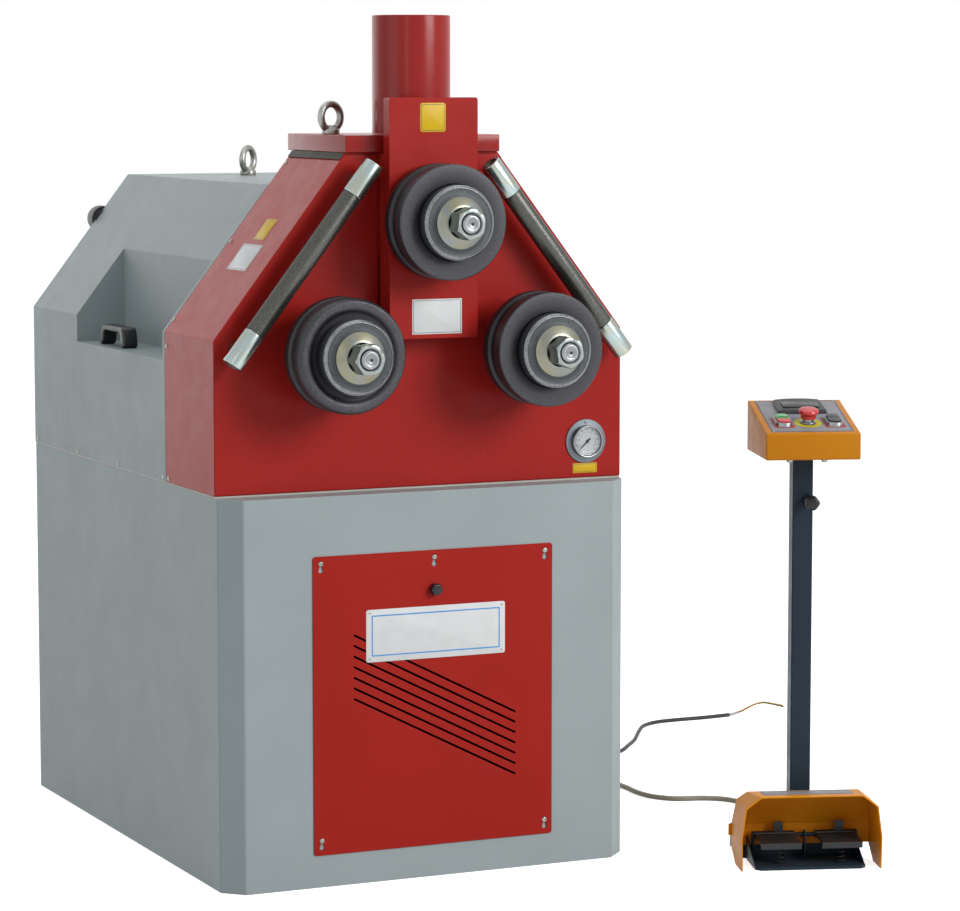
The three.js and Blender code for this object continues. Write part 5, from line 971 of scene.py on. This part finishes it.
# Clamp knob on the post: grip, its raised cap, neck and stud
postKnob = {
    "at": (9, 0, 703), "grip": (14.6, 5, 0.05), "cap": (12.2, 5, 0.05),
    "neck": [(0, -57), (8.4, -57), (8.4, -48.3), (0, -48.3)],
    "stud": [(0, -49), (4, -49), (4, -17.3), (0, -17.3)],
}
build("post_knob_moulded", [
    raised(lobed(*postKnob["grip"]), -72.3, -58.3, 2.4, 4, "y", postKnob["at"]),
    raised(lobed(*postKnob["cap"]), -78.6, -72.1, 3.0, 4, "y", postKnob["at"]),
    spun(softened(postKnob["neck"], 0.8, 3), 64, "y", postKnob["at"]),
    spun(softened(postKnob["stud"], 0.4, 2), 48, "y", postKnob["at"]),
], glossBlack, "clamp_knob", ["post_knob"], pedestal)

# Control box: folded desk, stem in the post, panel film, legend plates and bezels
print("stage: control box")
front, back, bottom = controlBox["front"], controlBox["back"], controlBox["bottom"]
boxProfile = [(front, bottom), (back, bottom), (back, controlBox["backTop"]), (front, controlBox["frontTop"])]
build("control_box_folded", [
    raised(softened(boxProfile, 4, 5, closed=True), -controlBox["half"], controlBox["half"], 2.6, 4, "x"),
    raised(rounded(17, 17, 2, 3), 551.8, 793, 0.5, 1),
], orangeEnamel, "control_head", ["control_box"], pedestal)
platePiece("control_film", 92, 105, 80, 95, greyOverlay, "control_head", desk, 2, 0.5, 0,
           (0.6, 2.4, darkPrint))
screwAt = [((x, -100, bottom), (0, 0, -1)) for x in (-43, 25)]
build("control_box_screws", screwShells(screwAt, 6.4, 6.0), zincForging, "control_head", (), pedestal)
corners = [((x, y, 0.4), (0, 0, 1)) for x in (16.5, 167.5) for y in (14, 196)]
build("control_film_screws", screwShells(corners, 2.4, 1.2), zincForging, "control_head", (), desk)

# Bezels: half width, half height and corner of the outside and the inside, then steps (outline, inset, level)
bezel = {
    "left": 43, "right": 142, "y": 64, "outer": (15.8, 27.2, 14.6), "inner": (12.9, 24.3, 11.8),
    "steps": (("outer", -0.6, 0.6), ("outer", -0.6, 1.6), ("outer", 0, 2.4), ("outer", 0, 7.4),
              ("outer", 1.1, 8.5), ("inner", -1.1, 8.5), ("inner", 0, 7.6), ("inner", 0, 0.6)),
}
for label in ("left", "right"):
    x = bezel[label]
    platePiece(f"legend_{label}", x, 63, 19.5, 29, redPrint, "control_head", desk, 3, 0.35, 0.5)
    bezelRows = [(inset(rounded(*bezel[edge], 10, (x, bezel["y"])), d), w) for edge, d, w in bezel["steps"]]
    bezelShell = shell(stacked(bezelRows), ringRows=True)
    build(f"bezel_{label}", [bezelShell], stainless, "control_head", (), desk, 50)
# Middle, finish and slot of each button, how high it stands and its bevel
buttons = {
    "start": (43, 75.5, greenPlastic, "green_plastic", 12.8, 3.4),
    "stop": (43, 52.5, redPlastic, "red_plastic", 11.2, 1.3),
    "raise": (142, 75.5, glossBlack, "black_plastic", 11.2, 1.3),
    "lower": (142, 52.5, glossBlack, "black_plastic", 11.2, 1.3),
}
for name, (x, y, finish, slotName, proud, bevel) in buttons.items():
    upper = y > bezel["y"]
    outline = rounded(12.4, 11.2, (10.6, 1.4) if upper else (1.4, 10.6), 8, (x, y + (0.5 if upper else -0.5)))
    build(f"{name}_button_moulded", [raised(outline, -5.8, proud, bevel, 5)], finish, f"{name}_key",
          [f"{name}_button"], desk)

# Emergency stop: yellow ring, bezel, stem and a waisted mushroom cap
estop = {
    "at": (92, 62, 0), "ring": [(16, 0.5), (27, 0.5), (27, 1.0), (16, 1.0)],
    "bezel": [(11.2, 0.9), (15, 0.9), (15, 3.6), (14.2, 4.4), (11.2, 4.4)],
    "stem": [(0, -17.9), (10.4, -17.9), (10.4, 10.1), (5, 10.1), (5, 16.4), (0, 16.4)],
    "cap": [(5.4, 10.6), (15, 10.6), (14.6, 16.5), (15.8, 19.6), (19.2, 21.4), (19.5, 25), (17.6, 28.4),
            (11, 30.2), (0, 30.5)],
    "under": [(0, 16.9), (5.4, 16.9), (5.4, 10.6)],
}
ringShell = spun(softened(estop["ring"], 0.15, 1), 96, "z", estop["at"], ringRows=True)
build("estop_ring", [ringShell], yellowRing, "control_head", (), desk)
bezelShell = spun(softened(estop["bezel"], 0.5, 2), 96, "z", estop["at"], ringRows=True)
build("estop_bezel", [bezelShell], stainless, "control_head", (), desk)
stemShell = spun(softened(estop["stem"], 0.4, 2), 64, "z", estop["at"])
build("estop_stem_turned", [stemShell], stainless, "estop_plunger", ["estop_stem"], desk)
capLine = np.vstack([softened(estop["cap"], 1.4, 4), estop["under"]])
build("estop_button_moulded", [spun(capLine, 96, "z", estop["at"], ringRows=True)], redPlastic, "estop_cap",
      ["estop_button"], desk, 50)

# Readout pod: steep front, and a top that arches across by one less a power of the distance from its middle
pod = {"left": 44, "right": 142, "low": 117, "high": 195, "front": 7.2, "fall": 1.2, "arch": 2.8,
       "taper": 0.05}
middle, half = (pod["left"] + pod["right"]) / 2, (pod["right"] - pod["left"]) / 2


# Quarter circle up from an edge: t is the distance from it, r the share over which it rises
def nearEdge(t, r):
    return np.sqrt(np.clip(t / r, 0, 1) * (2 - np.clip(t / r, 0, 1)))


# The outermost points of a grid, once round
def border(grid):
    return np.concatenate([grid[0, :-1], grid[:-1, -1], grid[-1, :0:-1], grid[:0:-1, 0]])


u = np.linspace(-1, 1, 49)[None, :]
v = np.linspace(0, 1, 37)[:, None]
arch = (1 - np.abs(u) ** 2.4) * np.sqrt(np.clip(v, 0, 1))
crown = pod["front"] - pod["fall"] * v + pod["arch"] * arch
height = 0.5 + (crown - 0.5) * nearEdge(1 - np.abs(u), 0.10) * nearEdge(v, 0.07) * nearEdge(1 - v, 0.09)
across = middle + half * u * (1 - pod["taper"] * v * v)
lid = np.stack([across, pod["low"] + (pod["high"] - pod["low"]) * v + 0 * u, height], axis=2)
base = lid.copy()
base[..., 2] = 0.35
build("display_unit_moulded", [
    shell(lid, ringColumns=False, caps=False), shell(base, ringColumns=False, caps=False),
    shell(np.stack([border(base), border(lid)]), caps=False),
], blackPlastic, "control_head", ["display_unit"], desk)
windowFace = desk @ shifted(middle, 150, 8.9) @ turnedAbout("x", 1.5)
platePiece("display_window", 0, 0, 36, 16, smokedWindow, "control_head", windowFace, 2, 0.9, 0)

# Floor, light and background
print("stage: floor and light")


# 1 for rays that show the background itself: from the camera, off a glossy surface or through glass
def seenRays(tree):
    ray = add(tree, "ShaderNodeLightPath").outputs
    direct = {0: ray["Is Camera Ray"], 1: ray["Is Glossy Ray"]}
    either = add(tree, "ShaderNodeMath", direct, operation="MAXIMUM").outputs[0]
    through = {0: either, 1: ray["Is Transmission Ray"]}
    return add(tree, "ShaderNodeMath", through, operation="MAXIMUM").outputs[0]


floorMesh = bpy.data.meshes.new("floor")
far = 30.0  # metres from the middle to each edge
floorMesh.from_pydata([(-far, -far, 0), (far, -far, 0), (far, far, 0), (-far, far, 0)], [], [(0, 1, 2, 3)])
floor = bpy.data.objects.new("floor", floorMesh)
bpy.context.scene.collection.objects.link(floor)
floorPaint, tree = bare("pale floor paint")
seen = seenRays(tree)
plain = add(tree, "ShaderNodeBsdfDiffuse", {"Color": (0.55, 0.55, 0.55, 1.0)})
pale = add(tree, "ShaderNodeBsdfDiffuse", {"Color": (0.8, 0.8, 0.8, 1.0)})
glow = add(tree, "ShaderNodeEmission", {"Color": (1.0, 1.0, 1.0, 1.0), "Strength": 0.8})
both = add(tree, "ShaderNodeAddShader", {0: pale.outputs[0], 1: glow.outputs[0]})
mixed = add(tree, "ShaderNodeMixShader", {0: seen, 1: plain.outputs[0], 2: both.outputs[0]})
add(tree, "ShaderNodeOutputMaterial", {"Surface": mixed.outputs[0]})
floorMesh.materials.append(floorPaint)
floor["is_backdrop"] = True

# Place, the point it looks at, width and height in metres, and watts
lights = {
    "key": ((3.4, -5.6, 3.4), (0, 0, 0.8), (2.8, 2.8), 318),
    "overhead": ((0.3, 0.2, 5.2), (0.2, 0, 0.6), (4.5, 4.5), 70),
    "side": ((-4.8, -1.4, 2.2), (0, 0, 0.9), (3.0, 3.0), 27),
    "strip": ((-3.0, -4.6, 2.3), (0, -0.4, 1.3), (0.14, 2.6), 8),
    "back": ((-2.3, 5.6, 2.2), (-0.2, 0, 1.0), (5.0, 4.2), 46),
}
for name, (place, aim, (wide, tall), power) in lights.items():
    data = bpy.data.lights.new(name, "AREA")
    data.shape, data.size, data.size_y, data.energy = "RECTANGLE", wide, tall, power
    lamp = bpy.data.objects.new(name, data)
    lamp.location = place
    lamp.rotation_euler = (Vector(aim) - Vector(place)).to_track_quat("-Z", "Y").to_euler()
    bpy.context.scene.collection.objects.link(lamp)

world = bpy.data.worlds.new("studio")
world.use_nodes = True
tree = world.node_tree
tree.nodes.clear()
soft = add(tree, "ShaderNodeBackground", {"Color": linear("#e4e9ee"), "Strength": 0.46})
white = add(tree, "ShaderNodeBackground", {"Color": (1.0, 1.0, 1.0, 1.0), "Strength": 1.0})
mixed = add(tree, "ShaderNodeMixShader", {0: seenRays(tree), 1: soft.outputs[0], 2: white.outputs[0]})
add(tree, "ShaderNodeOutputWorld", {"Surface": mixed.outputs[0]})
bpy.context.scene.world = world

{"cad": cadBox, "visual": [list(corner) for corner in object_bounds()]}
